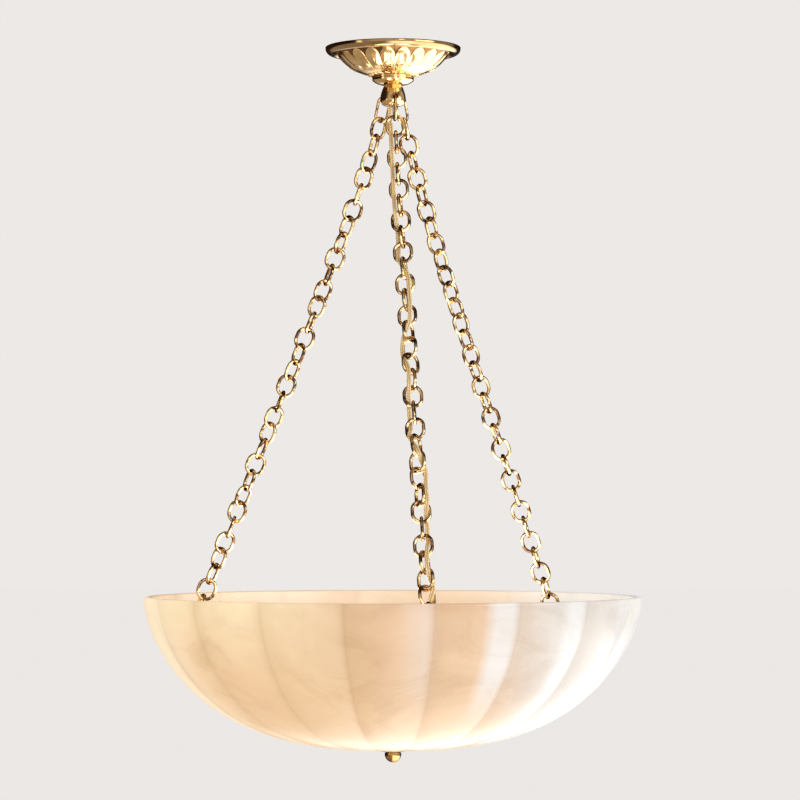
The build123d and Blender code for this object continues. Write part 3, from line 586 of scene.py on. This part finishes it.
def cord_jacket():
    """Clear jacket over twisted gold strands, with painted shade in the groove between the two cores, and a
    weak emission of its own colour that paints extra light on it.
    """
    material = new_material("cord_jacket")
    tree = material.node_tree
    shader = principled(material)
    shader.inputs["Coat Weight"].default_value = JACKET_COAT
    shader.inputs["Coat Roughness"].default_value = JACKET_COAT_ROUGHNESS
    shader.inputs["Emission Strength"].default_value = JACKET_GLOW
    layer = tree.nodes.new("ShaderNodeUVMap")
    layer.uv_map = "along_cord"
    along, across, _ = separate(tree, layer.outputs["UV"])
    strands = strand_relief(tree, along, across)
    mottle = noise(material, scale=90.0)
    gold = ramp(material, mottle, (0.3, STRAND_DARK), (0.7, STRAND_LIGHT))
    gold = blend_colour(tree, strands, gold, STRAND_PALE)
    gold = multiply_colour(tree, gold, ramp(material, calculate(tree, "ABSOLUTE", across), *JACKET_SHADE))
    link(material, gold, "Base Color")
    # Painted light: the cord's colour also glows weakly.
    link(material, gold, "Emission Color")
    link(material, spread(material, mottle, low=0.22, high=0.36), "Roughness")
    link(material, bump(material, strands, distance=0.00012), "Normal")
    return material


# Painting of the CAD nodes
SLOT_MATERIALS = (polished_brass, zinc_steel, ground_screw_paint, cord_jacket, lead_jacket, connector_plastic,
                  black_plastic, socket_body, lamp_metal, lamp_frosted_glass, rubber, alabaster_glass)
DARKER_BRASS_NODES = ("finial", "outer_washer")


def paint_nodes(materials):
    """Give each CAD node the material of its slot in the record."""
    for entry in frame["record"]["subparts"]:
        thing = bpy.data.objects.get(entry["node"])
        if thing is None:
            continue
        thing.data.materials.clear()
        thing.data.materials.append(materials[entry["material_slot"]])


# Mesh helpers
def add_piece(name, vertices, faces, material, body, node):
    """Mesh piece that rides on a body and stands for a CAD node."""
    mesh = bpy.data.meshes.new(name)
    mesh.from_pydata(vertices, [], faces)
    mesh.polygons.foreach_set("use_smooth", [True] * len(mesh.polygons))
    mesh.materials.append(material)
    mesh.validate()
    piece = bpy.data.objects.new(name, mesh)
    bpy.context.scene.collection.objects.link(piece)
    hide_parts(node)
    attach(piece, body)
    return piece


def store_values(piece, name, values):
    """One number for each vertex, for a material to read."""
    layer = piece.data.attributes.new(name, "FLOAT", "POINT")
    layer.data.foreach_set("value", values)


def ring_faces(rows, columns, start=0, closed=False):
    """Quads between rings of points. Closed also joins the last ring to the first."""
    faces = []
    for row in range(rows if closed else rows - 1):
        above = start + row * columns
        below = start + (row + 1) % rows * columns
        for column in range(columns):
            beside = (column + 1) % columns
            faces.append((above + column, above + beside, below + beside, below + column))
    return faces


def radial(azimuth):
    """Unit vector away from the axis. Azimuths are in degrees from the front, positive to the right."""
    return Vector((sin(radians(azimuth)), -cos(radians(azimuth)), 0.0))


def at_height(height):
    """Point on the axis."""
    return Vector((0.0, 0.0, height))


def smooth_step(low, high, value):
    share = min(max((value - low) / (high - low), 0.0), 1.0)
    return share * share * (3.0 - 2.0 * share)


def arc_points(first, middle, last, count):
    """Points on the arc through three points of a plane."""
    (ax, ay), (bx, by), (cx, cy) = first, middle, last
    a_square, b_square, c_square = ax ** 2 + ay ** 2, bx ** 2 + by ** 2, cx ** 2 + cy ** 2
    scale = 2.0 * (ax * (by - cy) + bx * (cy - ay) + cx * (ay - by))
    centre_x = (a_square * (by - cy) + b_square * (cy - ay) + c_square * (ay - by)) / scale
    centre_y = (a_square * (cx - bx) + b_square * (ax - cx) + c_square * (bx - ax)) / scale
    radius = sqrt((ax - centre_x) ** 2 + (ay - centre_y) ** 2)
    start = atan2(ay - centre_y, ax - centre_x)
    halfway = atan2(by - centre_y, bx - centre_x)
    end = atan2(cy - centre_y, cx - centre_x)
    if not min(start, end) <= halfway <= max(start, end):
        end += 2.0 * pi if end < start else -2.0 * pi
    turns = [start + (end - start) * step / count for step in range(count + 1)]
    return [(centre_x + radius * cos(turn), centre_y + radius * sin(turn)) for turn in turns]


# Canopy outline. Points are (distance from the axis, height).
CANOPY_RADIUS = 0.0833
CANOPY_DEPTH = 0.0351
CANOPY_WALL = 0.0012
STEP_RADIUS, STEP_DROP = 0.070, 0.008
FLAT_RADIUS = 0.024
NIPPLE_HOLE = 0.00508
RIM_TOP = [(CANOPY_RADIUS - 0.0018, 0.0), (CANOPY_RADIUS - 0.0004, 0.0), (CANOPY_RADIUS, -0.0004)]
RIM_ARC = ((CANOPY_RADIUS, -0.0016), (CANOPY_RADIUS - 0.0024, -0.00704), (STEP_RADIUS + 0.002, -STEP_DROP))
STEP_FILLET = [(STEP_RADIUS + 0.0012, -STEP_DROP + 0.0007), (STEP_RADIUS + 0.0004, -STEP_DROP + 0.0008)]
DOME_MIDDLE = (0.79 * STEP_RADIUS, -0.65 * CANOPY_DEPTH)
DOME_ARC = ((STEP_RADIUS, -STEP_DROP + 0.0006), DOME_MIDDLE, (FLAT_RADIUS, -CANOPY_DEPTH))
INNER_ARC = ((FLAT_RADIUS, -CANOPY_DEPTH + 2.2 * CANOPY_WALL),
             (DOME_MIDDLE[0] - 1.7 * CANOPY_WALL, DOME_MIDDLE[1] + 1.9 * CANOPY_WALL),
             (STEP_RADIUS - 1.5 * CANOPY_WALL, -STEP_DROP + 2.0 * CANOPY_WALL))
RIM_ROWS, DOME_ROWS, INNER_ROWS = 18, 110, 24

# Canopy relief. Places down the dome run from 0 at its rim to 1 at the collar. An ease is the width of a
# soft edge, outside and inside the line of the petal.
PETALS = 20
PETAL_PHASE = 2.5
PETAL_COLUMNS = 30
PETAL_RELIEF, BUD_RELIEF = 0.0015, 0.0008
PETAL_START, PETAL_ARCH, PETAL_EASE = 0.015, 0.34, (-0.0004, 0.0005)
PETAL_CROWN, PETAL_FLATTENS = 0.45, (0.34, 0.6)
BUD_START, BUD_ARCH, BUD_EASE = 0.42, 0.10, (-0.0003, 0.0004)
BUD_WIDTH, BUD_FADES = 0.55, (0.50, 0.66)
SCALLOP_START, SCALLOP_ARCH, SCALLOP_EASE = 0.86, 0.12, (-0.0003, 0.0003)
# The dome darkens to the recess colour in the gaps between the petals near the rim, and the rim darkens too.
GAP_DARKENING_STARTS, GAP_DARKENING_END = (0.0, 0.04), 0.40
RIM_DARKENING = 0.62


def petal_arch(place, start, length):
    """Half width of a petal, as a share of its sector, at a place down the dome."""
    if place <= start:
        return 0.0
    return sqrt(max(0.0, 1.0 - (1.0 - min((place - start) / length, 1.0)) ** 2))


def petal_height(turn, place):
    """Relief of the dome, and how far it darkens to the recess colour: in the gaps between the petals near
    the rim. Turn is in petals.
    """
    across = abs(2.0 * (turn - round(turn)))
    across_between = 1.0 - across
    half_sector = pi * (STEP_RADIUS + (FLAT_RADIUS - STEP_RADIUS) * place) / PETALS
    petal_edge = (petal_arch(place, PETAL_START, PETAL_ARCH) - across) * half_sector
    on_petal = smooth_step(*PETAL_EASE, petal_edge)
    crown = PETAL_CROWN * across ** 2 * (1.0 - smooth_step(*PETAL_FLATTENS, place))
    petal = PETAL_RELIEF * on_petal * (1.0 - crown)
    bud_edge = (BUD_WIDTH * petal_arch(place, BUD_START, BUD_ARCH) - across) * half_sector
    bud = BUD_RELIEF * smooth_step(*BUD_EASE, bud_edge) * (1.0 - smooth_step(*BUD_FADES, place))
    scallop_edge = (petal_arch(place, SCALLOP_START, SCALLOP_ARCH) - across_between) * half_sector
    scallop = BUD_RELIEF * smooth_step(*SCALLOP_EASE, scallop_edge)
    tarnish = (1.0 - on_petal) * smooth_step(*GAP_DARKENING_STARTS, place) if place <= GAP_DARKENING_END else 0.0
    return petal + bud + scallop - PETAL_RELIEF, tarnish


def lift_point(profile, row, lift):
    """Move a point of the profile square to the line through its neighbours."""
    (reach_before, height_before), (reach_after, height_after) = profile[row - 1], profile[row + 1]
    out = Vector((height_before - height_after, reach_after - reach_before)).normalized()
    return profile[row][0] + out.x * lift, profile[row][1] + out.y * lift


def canopy_piece(material):
    """Turned cover: rounded rim, step, petalled dome, flat round the nipple, and the inside of the sheet."""
    profile = RIM_TOP + arc_points(*RIM_ARC, RIM_ROWS) + STEP_FILLET
    dome_first = len(profile)
    profile += arc_points(*DOME_ARC, DOME_ROWS)
    dome_last = len(profile) - 1
    profile += [(NIPPLE_HOLE, -CANOPY_DEPTH), (NIPPLE_HOLE, -CANOPY_DEPTH + CANOPY_WALL)]
    profile += arc_points(*INNER_ARC, INNER_ROWS)
    columns = PETALS * PETAL_COLUMNS
    vertices, recess = [], []
    for row, (reach, height) in enumerate(profile):
        for column in range(columns):
            angle = 2.0 * pi * column / columns
            # The rim darkens to the recess colour, and the dome darkens in the gaps between the petals.
            lift, tarnish = 0.0, RIM_DARKENING if row < dome_first else 0.0
            if dome_first <= row <= dome_last:
                turn = (360.0 * column / columns - PETAL_PHASE) * PETALS / 360.0 - 0.5
                lift, tarnish = petal_height(turn, (row - dome_first) / DOME_ROWS)
            if dome_first < row < dome_last:
                point_reach, point_height = lift_point(profile, row, lift)
            else:
                point_reach, point_height = reach, height
            vertices.append((point_reach * sin(angle), -point_reach * cos(angle), point_height))
            recess.append(tarnish)
    faces = ring_faces(len(profile), columns, closed=True)
    piece = add_piece("canopy_petals", vertices, faces, material, "ceiling", "canopy")
    store_values(piece, "recess", recess)


# Glass bowl
BOWL_RADIUS, BOWL_DEPTH = 0.3056, 0.1865
ROUND_POWER, DEPTH_POWER = 0.74, 1.2
BOWL_WALL, BOWL_FLOOR = 0.006, 0.008
BOWL_HOLE = 0.0056
LOBES = 18
LOBE_COLUMNS = 24
VALLEY_SHARE = 0.984
FIRST_VALLEY = 9.0
BOWL_ROWS = 80
LAST_TURN = radians(89.9)
RIM_ROUND = 0.0022
RIM_STEPS = 6
RIM_SMOOTHING = 0.1


def dish_rings(radius, depth, lobed):
    """Rings from the hole in the floor up to the rounded rim, as (distance from the axis, drop, lobed)."""
    rings = []
    for step in range(BOWL_ROWS, 0, -1):
        turn = LAST_TURN * step / BOWL_ROWS
        reach = radius * cos(turn) ** ROUND_POWER
        drop = depth * sin(turn) ** DEPTH_POWER
        if reach >= BOWL_HOLE and drop >= RIM_ROUND:
            rings.append((reach, drop, lobed))
    return rings


def bowl_rings():
    """Rings up the lobed outside, and down the round inside to the hole. Lobed is 1, 0 or between."""
    inner_radius = BOWL_RADIUS * VALLEY_SHARE - BOWL_WALL
    outside = dish_rings(BOWL_RADIUS, BOWL_DEPTH, 1.0)
    inside = []
    for step in range(RIM_STEPS + 1):
        turn = radians(90) * step / RIM_STEPS
        if step:
            outside.append((BOWL_RADIUS - RIM_ROUND * (1.0 - cos(turn)), RIM_ROUND * (1.0 - sin(turn)),
                            1.0 - RIM_SMOOTHING * step / RIM_STEPS))
        inside.append((inner_radius + RIM_ROUND * (1.0 - sin(turn)), RIM_ROUND * (1.0 - cos(turn)), 0.0))
    inside += reversed(dish_rings(inner_radius, BOWL_DEPTH - BOWL_FLOOR, 0.0))
    inside += [(BOWL_HOLE, BOWL_DEPTH - BOWL_FLOOR, 0.0), (BOWL_HOLE, BOWL_DEPTH, 0.0)]
    return outside, inside


def bowl_piece(material):
    """Lobed outside with soft creases, smooth inside, rounded rim."""
    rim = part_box("glass_bowl")[1][2]
    outside, inside = bowl_rings()
    columns = LOBES * LOBE_COLUMNS
    vertices = []
    for reach, drop, lobed in outside + inside:
        for column in range(columns):
            across = 2.0 * (column % LOBE_COLUMNS) / LOBE_COLUMNS - 1.0
            share = 1.0 - lobed * (1.0 - VALLEY_SHARE) * across ** 2
            way = radial(FIRST_VALLEY + 360.0 * column / columns)
            vertices.append((way.x * reach * share, way.y * reach * share, rim - drop))
    faces = ring_faces(len(outside) + len(inside), columns, closed=True)
    piece = add_piece("glass_bowl_lobed", vertices, faces, material, "bowl", "glass_bowl")
    store_values(piece, "inside", [0.0] * len(outside) * columns + [1.0] * len(inside) * columns)


# Chains. Azimuths, slopes and turns are in degrees. A chain's links turn about it by one angle from link to
# link above the change, and by another below it. The first one has its own turn.
CHAINS = {"front": 9.0, "left": -111.0, "right": 129.0}
LINK_WIDTH, LINK_WIRE = 0.0248, 0.0041
LINK_PITCH, LINK_GAP = 0.0212, 0.00025
LINK_LENGTH = LINK_PITCH + LINK_GAP + 2.0 * LINK_WIRE
LINK_COUNT = 31
HUB_ARC_RADIUS, HUB_ARC_HEIGHT = 0.011847, -0.068294
HUB_LINK_LENGTH, HUB_LINK_WIDTH, HUB_LINK_WIRE = 0.034, 0.0185, 0.0034
HUB_ARC_BACK = (HUB_LINK_LENGTH - HUB_LINK_WIDTH) / 2.0
HUB_LINK_STEP = (HUB_LINK_LENGTH + LINK_LENGTH) / 2.0 - HUB_LINK_WIRE - LINK_WIRE - LINK_GAP
FIRST_HANG = HUB_ARC_BACK + HUB_LINK_STEP - LINK_PITCH / 2.0
TOP_SLOPE, LOW_SLOPE, SLOPE_SHARE = 13.0, 23.070, 0.77
TWIST_CHANGE = 12
TWIST_FIRST = {"front": 0.0, "left": -43.0, "right": 80.0}
TWIST_START = {"front": 0.0, "left": 0.0, "right": 103.7}
TWIST_ABOVE = {"front": 91.5, "left": 68.3, "right": 93.3}
TWIST_BELOW = {"front": 102.5, "left": 68.3, "right": 93.3}
LINK_STEPS, WIRE_STEPS = 72, 20


def chain_direction(azimuth, number):
    """Way down the chain at a link. Number -1 is the long link in the hub."""
    slope = radians(LOW_SLOPE - (LOW_SLOPE - TOP_SLOPE) * SLOPE_SHARE ** (number + 1))
    return radial(azimuth) * sin(slope) - Vector((0.0, 0.0, cos(slope)))


def hub_arc_centre(azimuth):
    return radial(azimuth) * HUB_ARC_RADIUS + at_height(HUB_ARC_HEIGHT)


def hub_link_centre(azimuth):
    return hub_arc_centre(azimuth) + chain_direction(azimuth, -1) * HUB_ARC_BACK


def hanging_place(azimuth, number):
    """Place where a link hangs in the one above."""
    place = hub_arc_centre(azimuth) + chain_direction(azimuth, -1) * FIRST_HANG
    for above in range(number):
        place += chain_direction(azimuth, above) * LINK_PITCH
    return place


def link_centre(azimuth, number):
    return hanging_place(azimuth, number) + chain_direction(azimuth, number) * (LINK_PITCH / 2.0)


def facing(along):
    """Square to the chain, towards the front."""
    front = Vector((0.0, -1.0, 0.0))
    return (front - along * front.dot(along)).normalized()


def window_way(azimuth):
    """Level, and square to the way out: the side that the long link in the hub shows."""
    return Vector((cos(radians(azimuth)), sin(radians(azimuth)), 0.0))


def link_normal(name, number):
    """The side that a link shows. Each link is turned about the chain by the chain's own twist."""
    along = chain_direction(CHAINS[name], number)
    turn = TWIST_START[name] + TWIST_ABOVE[name] * min(number, TWIST_CHANGE)
    turn += TWIST_BELOW[name] * max(number - TWIST_CHANGE, 0)
    if number == 0:
        turn = TWIST_FIRST[name]
    return Matrix.Rotation(radians(turn), 3, along) @ facing(along)


def add_link(vertices, faces, centre, along, normal, length, width, wire):
    """Oval link with a round wire."""
    across = along.cross(normal)
    end = (width - wire) / 2.0
    straight = (length - width) / 2.0
    start = len(vertices)
    for step in range(LINK_STEPS):
        angle = 2.0 * pi * step / LINK_STEPS
        out = across * cos(angle) + along * sin(angle)
        middle = centre + out * end + along * (straight if sin(angle) > 0 else -straight)
        for side in range(WIRE_STEPS):
            turn = 2.0 * pi * side / WIRE_STEPS
            point = middle + (out * cos(turn) + normal * sin(turn)) * (wire / 2.0)
            vertices.append(tuple(point))
    faces.extend(ring_faces(LINK_STEPS, WIRE_STEPS, start, closed=True))


def chain_piece(name, material):
    """All the round links of one chain."""
    vertices, faces = [], []
    azimuth = CHAINS[name]
    for number in range(LINK_COUNT):
        add_link(vertices, faces, link_centre(azimuth, number), chain_direction(azimuth, number),
                 link_normal(name, number), LINK_LENGTH, LINK_WIDTH, LINK_WIRE)
    add_piece(f"chain_{name}_links", vertices, faces, material, f"chain_{name}", f"chain_{name}")


def first_link_piece(name, material):
    """The long link that hangs in the hub's window, square to its chain."""
    vertices, faces = [], []
    azimuth = CHAINS[name]
    add_link(vertices, faces, hub_link_centre(azimuth), chain_direction(azimuth, -1), window_way(azimuth),
             HUB_LINK_LENGTH, HUB_LINK_WIDTH, HUB_LINK_WIRE)
    add_piece(f"first_link_{name}", vertices, faces, material, f"chain_{name}", f"hub_link_{name}")


# Electrical cord. Weave gives the angle round the front chain, in degrees, near which the cord passes each
# link, as read from the photograph. Places and heights are those of the CAD cord.
WEAVE = (221, 136, 137, 139, 140, 142, 143, 235, 236, 148, 59, 61, 62, 69, 172, 184,
         107, 119, 222, 234, 157, 79, 2, 14, 27, 309, 322, 64, 77, 359, 282)
CORD_RADIUS = 0.0023
CORD_WIRE_GAP = 0.0016
CORD_OPENING_PLACE = 0.0052
CORD_EXIT_AZIMUTH, CORD_EXIT_RADIUS = -51.0, 0.0055
CORD_TOP_LOW, CORD_START_GAP = -0.054, 0.002
CORD_TOP_END = -0.009378
CORD_MOUTH_HEIGHTS = (-0.0675, -0.077)
FRONT_HEADING = 8.790401
FRONT_EYE_REACH = 0.261925
CORD_LANDING_BACK = 0.045
CORD_ON_ARM = -0.716294
CORD_SPLIT_SHARE, CORD_SPLIT_GAP = 0.35, 0.0008
CORD_EDGE_PLACE, CORD_SIDE_RUN, CORD_SIDE_DROP = 0.062, 0.016, 0.016
CORD_BESIDE_ARM = 0.0118
BUSHING_PLACE = 0.015
CORD_OVER_LID = -0.744144
CORD_END_HEIGHT = -0.767144
JACKET_HALF_WIDTH, JACKET_HALF_DEPTH = 0.0025, 0.0014
JACKET_COLUMNS = 36
GROOVE_HALF_WIDTH, GROOVE_DEPTH = 0.6, 0.62
ROUTE_STEPS = 12
TWIST_EASE = 0.10


def cord_place(number):
    """Place of the cord where a link hangs in the one above, in the quadrant nearest to the weave angle."""
    azimuth = CHAINS["front"]
    along = chain_direction(azimuth, number)
    front = facing(along)
    angle = radians(WEAVE[number])
    wanted = front.cross(along) * cos(angle) + front * sin(angle)
    upper = link_normal("front", number - 1) if number else window_way(azimuth)
    lower = link_normal("front", number)
    between = [(upper + lower).normalized(), (upper - lower).normalized()]
    choices = between + [way * -1.0 for way in between]
    way = max(choices, key=lambda choice: choice.dot(wanted))
    clear = CORD_RADIUS + LINK_WIRE / 2.0 + CORD_WIRE_GAP
    return hanging_place(azimuth, number) + way * (clear / abs(way.dot(lower)))


def cord_through_links():
    """Places of the cord down the chain, with one more in each link that it passes through."""
    azimuth = CHAINS["front"]
    places = [cord_place(number) for number in range(LINK_COUNT)]
    points = []
    for number, place in enumerate(places[:-1]):
        points.append(place)
        centre = link_centre(azimuth, number)
        normal = link_normal("front", number)
        width = chain_direction(azimuth, number).cross(normal)
        if (place - centre).dot(normal) * (places[number + 1] - centre).dot(normal) < 0:
            side = 1.0 if (place - centre).dot(width) > 0 else -1.0
            points.append(centre + width * side * CORD_OPENING_PLACE)
    return points + places[-1:]


def cord_turn_in():
    """Where the cord leaves the chain, and where it meets the top of the front arm."""
    landing = radial(FRONT_HEADING) * (FRONT_EYE_REACH - CORD_LANDING_BACK)
    return cord_place(LINK_COUNT - 1), landing + at_height(CORD_ON_ARM)


def woven_route():
    """From the hub down the front chain to just under the rim of the bowl."""
    out = radial(CORD_EXIT_AZIMUTH) * CORD_EXIT_RADIUS
    points = [at_height(CORD_TOP_LOW - CORD_START_GAP)]
    points += [out + at_height(height) for height in CORD_MOUTH_HEIGHTS]
    points += cord_through_links()
    leave, landing = cord_turn_in()
    points.append(leave + (landing - leave) * CORD_SPLIT_SHARE)
    return points


def route_in_bowl():
    """From the front chain along the arm and down through the lid of the cluster."""
    leave, landing = cord_turn_in()
    out = radial(FRONT_HEADING)
    side = Vector((-out.y, out.x, 0.0))
    start = leave + (landing - leave) * CORD_SPLIT_SHARE + (landing - leave).normalized() * CORD_SPLIT_GAP
    edge = out * CORD_EDGE_PLACE + at_height(CORD_ON_ARM)
    over = out * (CORD_EDGE_PLACE - CORD_SIDE_RUN) + side * CORD_BESIDE_ARM + at_height(CORD_ON_ARM)
    down = over - at_height(CORD_SIDE_DROP)
    above = out * BUSHING_PLACE + at_height(CORD_OVER_LID)
    end = out * BUSHING_PLACE + at_height(CORD_END_HEIGHT)
    return [start, landing, edge, over, down, above, end]


def spline_points(points):
    """Points along the smooth line of a route."""
    data = bpy.data.curves.new("route", "CURVE")
    data.dimensions = "3D"
    data.resolution_u = ROUTE_STEPS
    spline = data.splines.new("NURBS")
    spline.points.add(len(points) - 1)
    for entry, point in zip(spline.points, points):
        entry.co = (*point, 1.0)
    spline.order_u = 3
    spline.use_endpoint_u = True
    route = bpy.data.objects.new("route", data)
    line = bpy.data.meshes.new_from_object(route)
    found = [vertex.co.copy() for vertex in line.vertices]
    bpy.data.objects.remove(route)
    bpy.data.meshes.remove(line)
    bpy.data.curves.remove(data)
    return found


def jacket_outline():
    """Section of the flat cord: two cores side by side, with a shallow groove between them."""
    outline = []
    for column in range(JACKET_COLUMNS):
        angle = 2.0 * pi * column / JACKET_COLUMNS
        across = cos(angle)
        depth = sqrt(max(0.0, 1.0 - (2.0 * abs(across) - 1.0) ** 2))
        if abs(across) < GROOVE_HALF_WIDTH:
            depth = max(depth, GROOVE_DEPTH)
        rounded = depth if sin(angle) >= 0 else -depth
        outline.append((across * JACKET_HALF_WIDTH, rounded * JACKET_HALF_DEPTH))
    return outline


def cord_frames(line):
    """For each point of a line: the way across the flat cord, its thickness, and the length so far."""
    frames = []
    width = None
    length = 0.0
    for number, place in enumerate(line):
        before, after = line[max(number - 1, 0)], line[min(number + 1, len(line) - 1)]
        along = (after - before).normalized()
        wanted = along.cross(Vector((0.0, -1.0, 0.0)))
        if width is None:
            width = wanted.normalized()
        if wanted.dot(width) < 0:
            wanted.negate()
        width = width + wanted * TWIST_EASE
        width = (width - along * width.dot(along)).normalized()
        if number:
            length += (place - line[number - 1]).length
        frames.append((place, width, along.cross(width), length))
    return frames


def flat_cord(name, route, material, body, node):
    """Flat cord along a route. Its flat side turns slowly towards the front."""
    frames = cord_frames(spline_points(route))
    outline = jacket_outline()
    vertices, along_cord = [], []
    for place, width, normal, length in frames:
        for across, depth in outline:
            vertices.append(tuple(place + width * across + normal * depth))
            along_cord.append((length, across / JACKET_HALF_WIDTH))
    faces = ring_faces(len(frames), JACKET_COLUMNS)
    last = (len(frames) - 1) * JACKET_COLUMNS
    faces.append(tuple(range(JACKET_COLUMNS)))
    faces.append(tuple(range(last + JACKET_COLUMNS - 1, last - 1, -1)))
    piece = add_piece(name, vertices, faces, material, body, node)
    layer = piece.data.uv_layers.new(name="along_cord")
    for loop in piece.data.loops:
        layer.data[loop.index].uv = along_cord[loop.vertex_index]


def top_route():
    """Straight up the nipple."""
    middle = (CORD_TOP_LOW + CORD_TOP_END) / 2.0
    return [at_height(height) for height in (CORD_TOP_LOW, middle, CORD_TOP_END)]


add_camera()
add_world()
add_stage()
add_lights()
bpy.context.scene.view_settings.view_transform = "Standard"

materials = {maker.__name__: maker() for maker in SLOT_MATERIALS}
paint_nodes(materials)
darker_tone = darker_brass()
for darker_tone_node in DARKER_BRASS_NODES:
    bpy.data.objects[darker_tone_node].data.materials[0] = darker_tone

canopy_piece(materials["polished_brass"])
bowl_piece(materials["alabaster_glass"])
links_brass = chain_brass()
for chain_name in CHAINS:
    chain_piece(chain_name, links_brass)
    first_link_piece(chain_name, links_brass)
flat_cord("cord_top_flat", top_route(), materials["cord_jacket"], "ceiling", "cord_top")
flat_cord("cord_woven_flat", woven_route(), materials["cord_jacket"], "chain_front", "cord_woven")
flat_cord("cord_in_bowl_flat", route_in_bowl(), materials["cord_jacket"], "bowl", "cord_in_bowl")
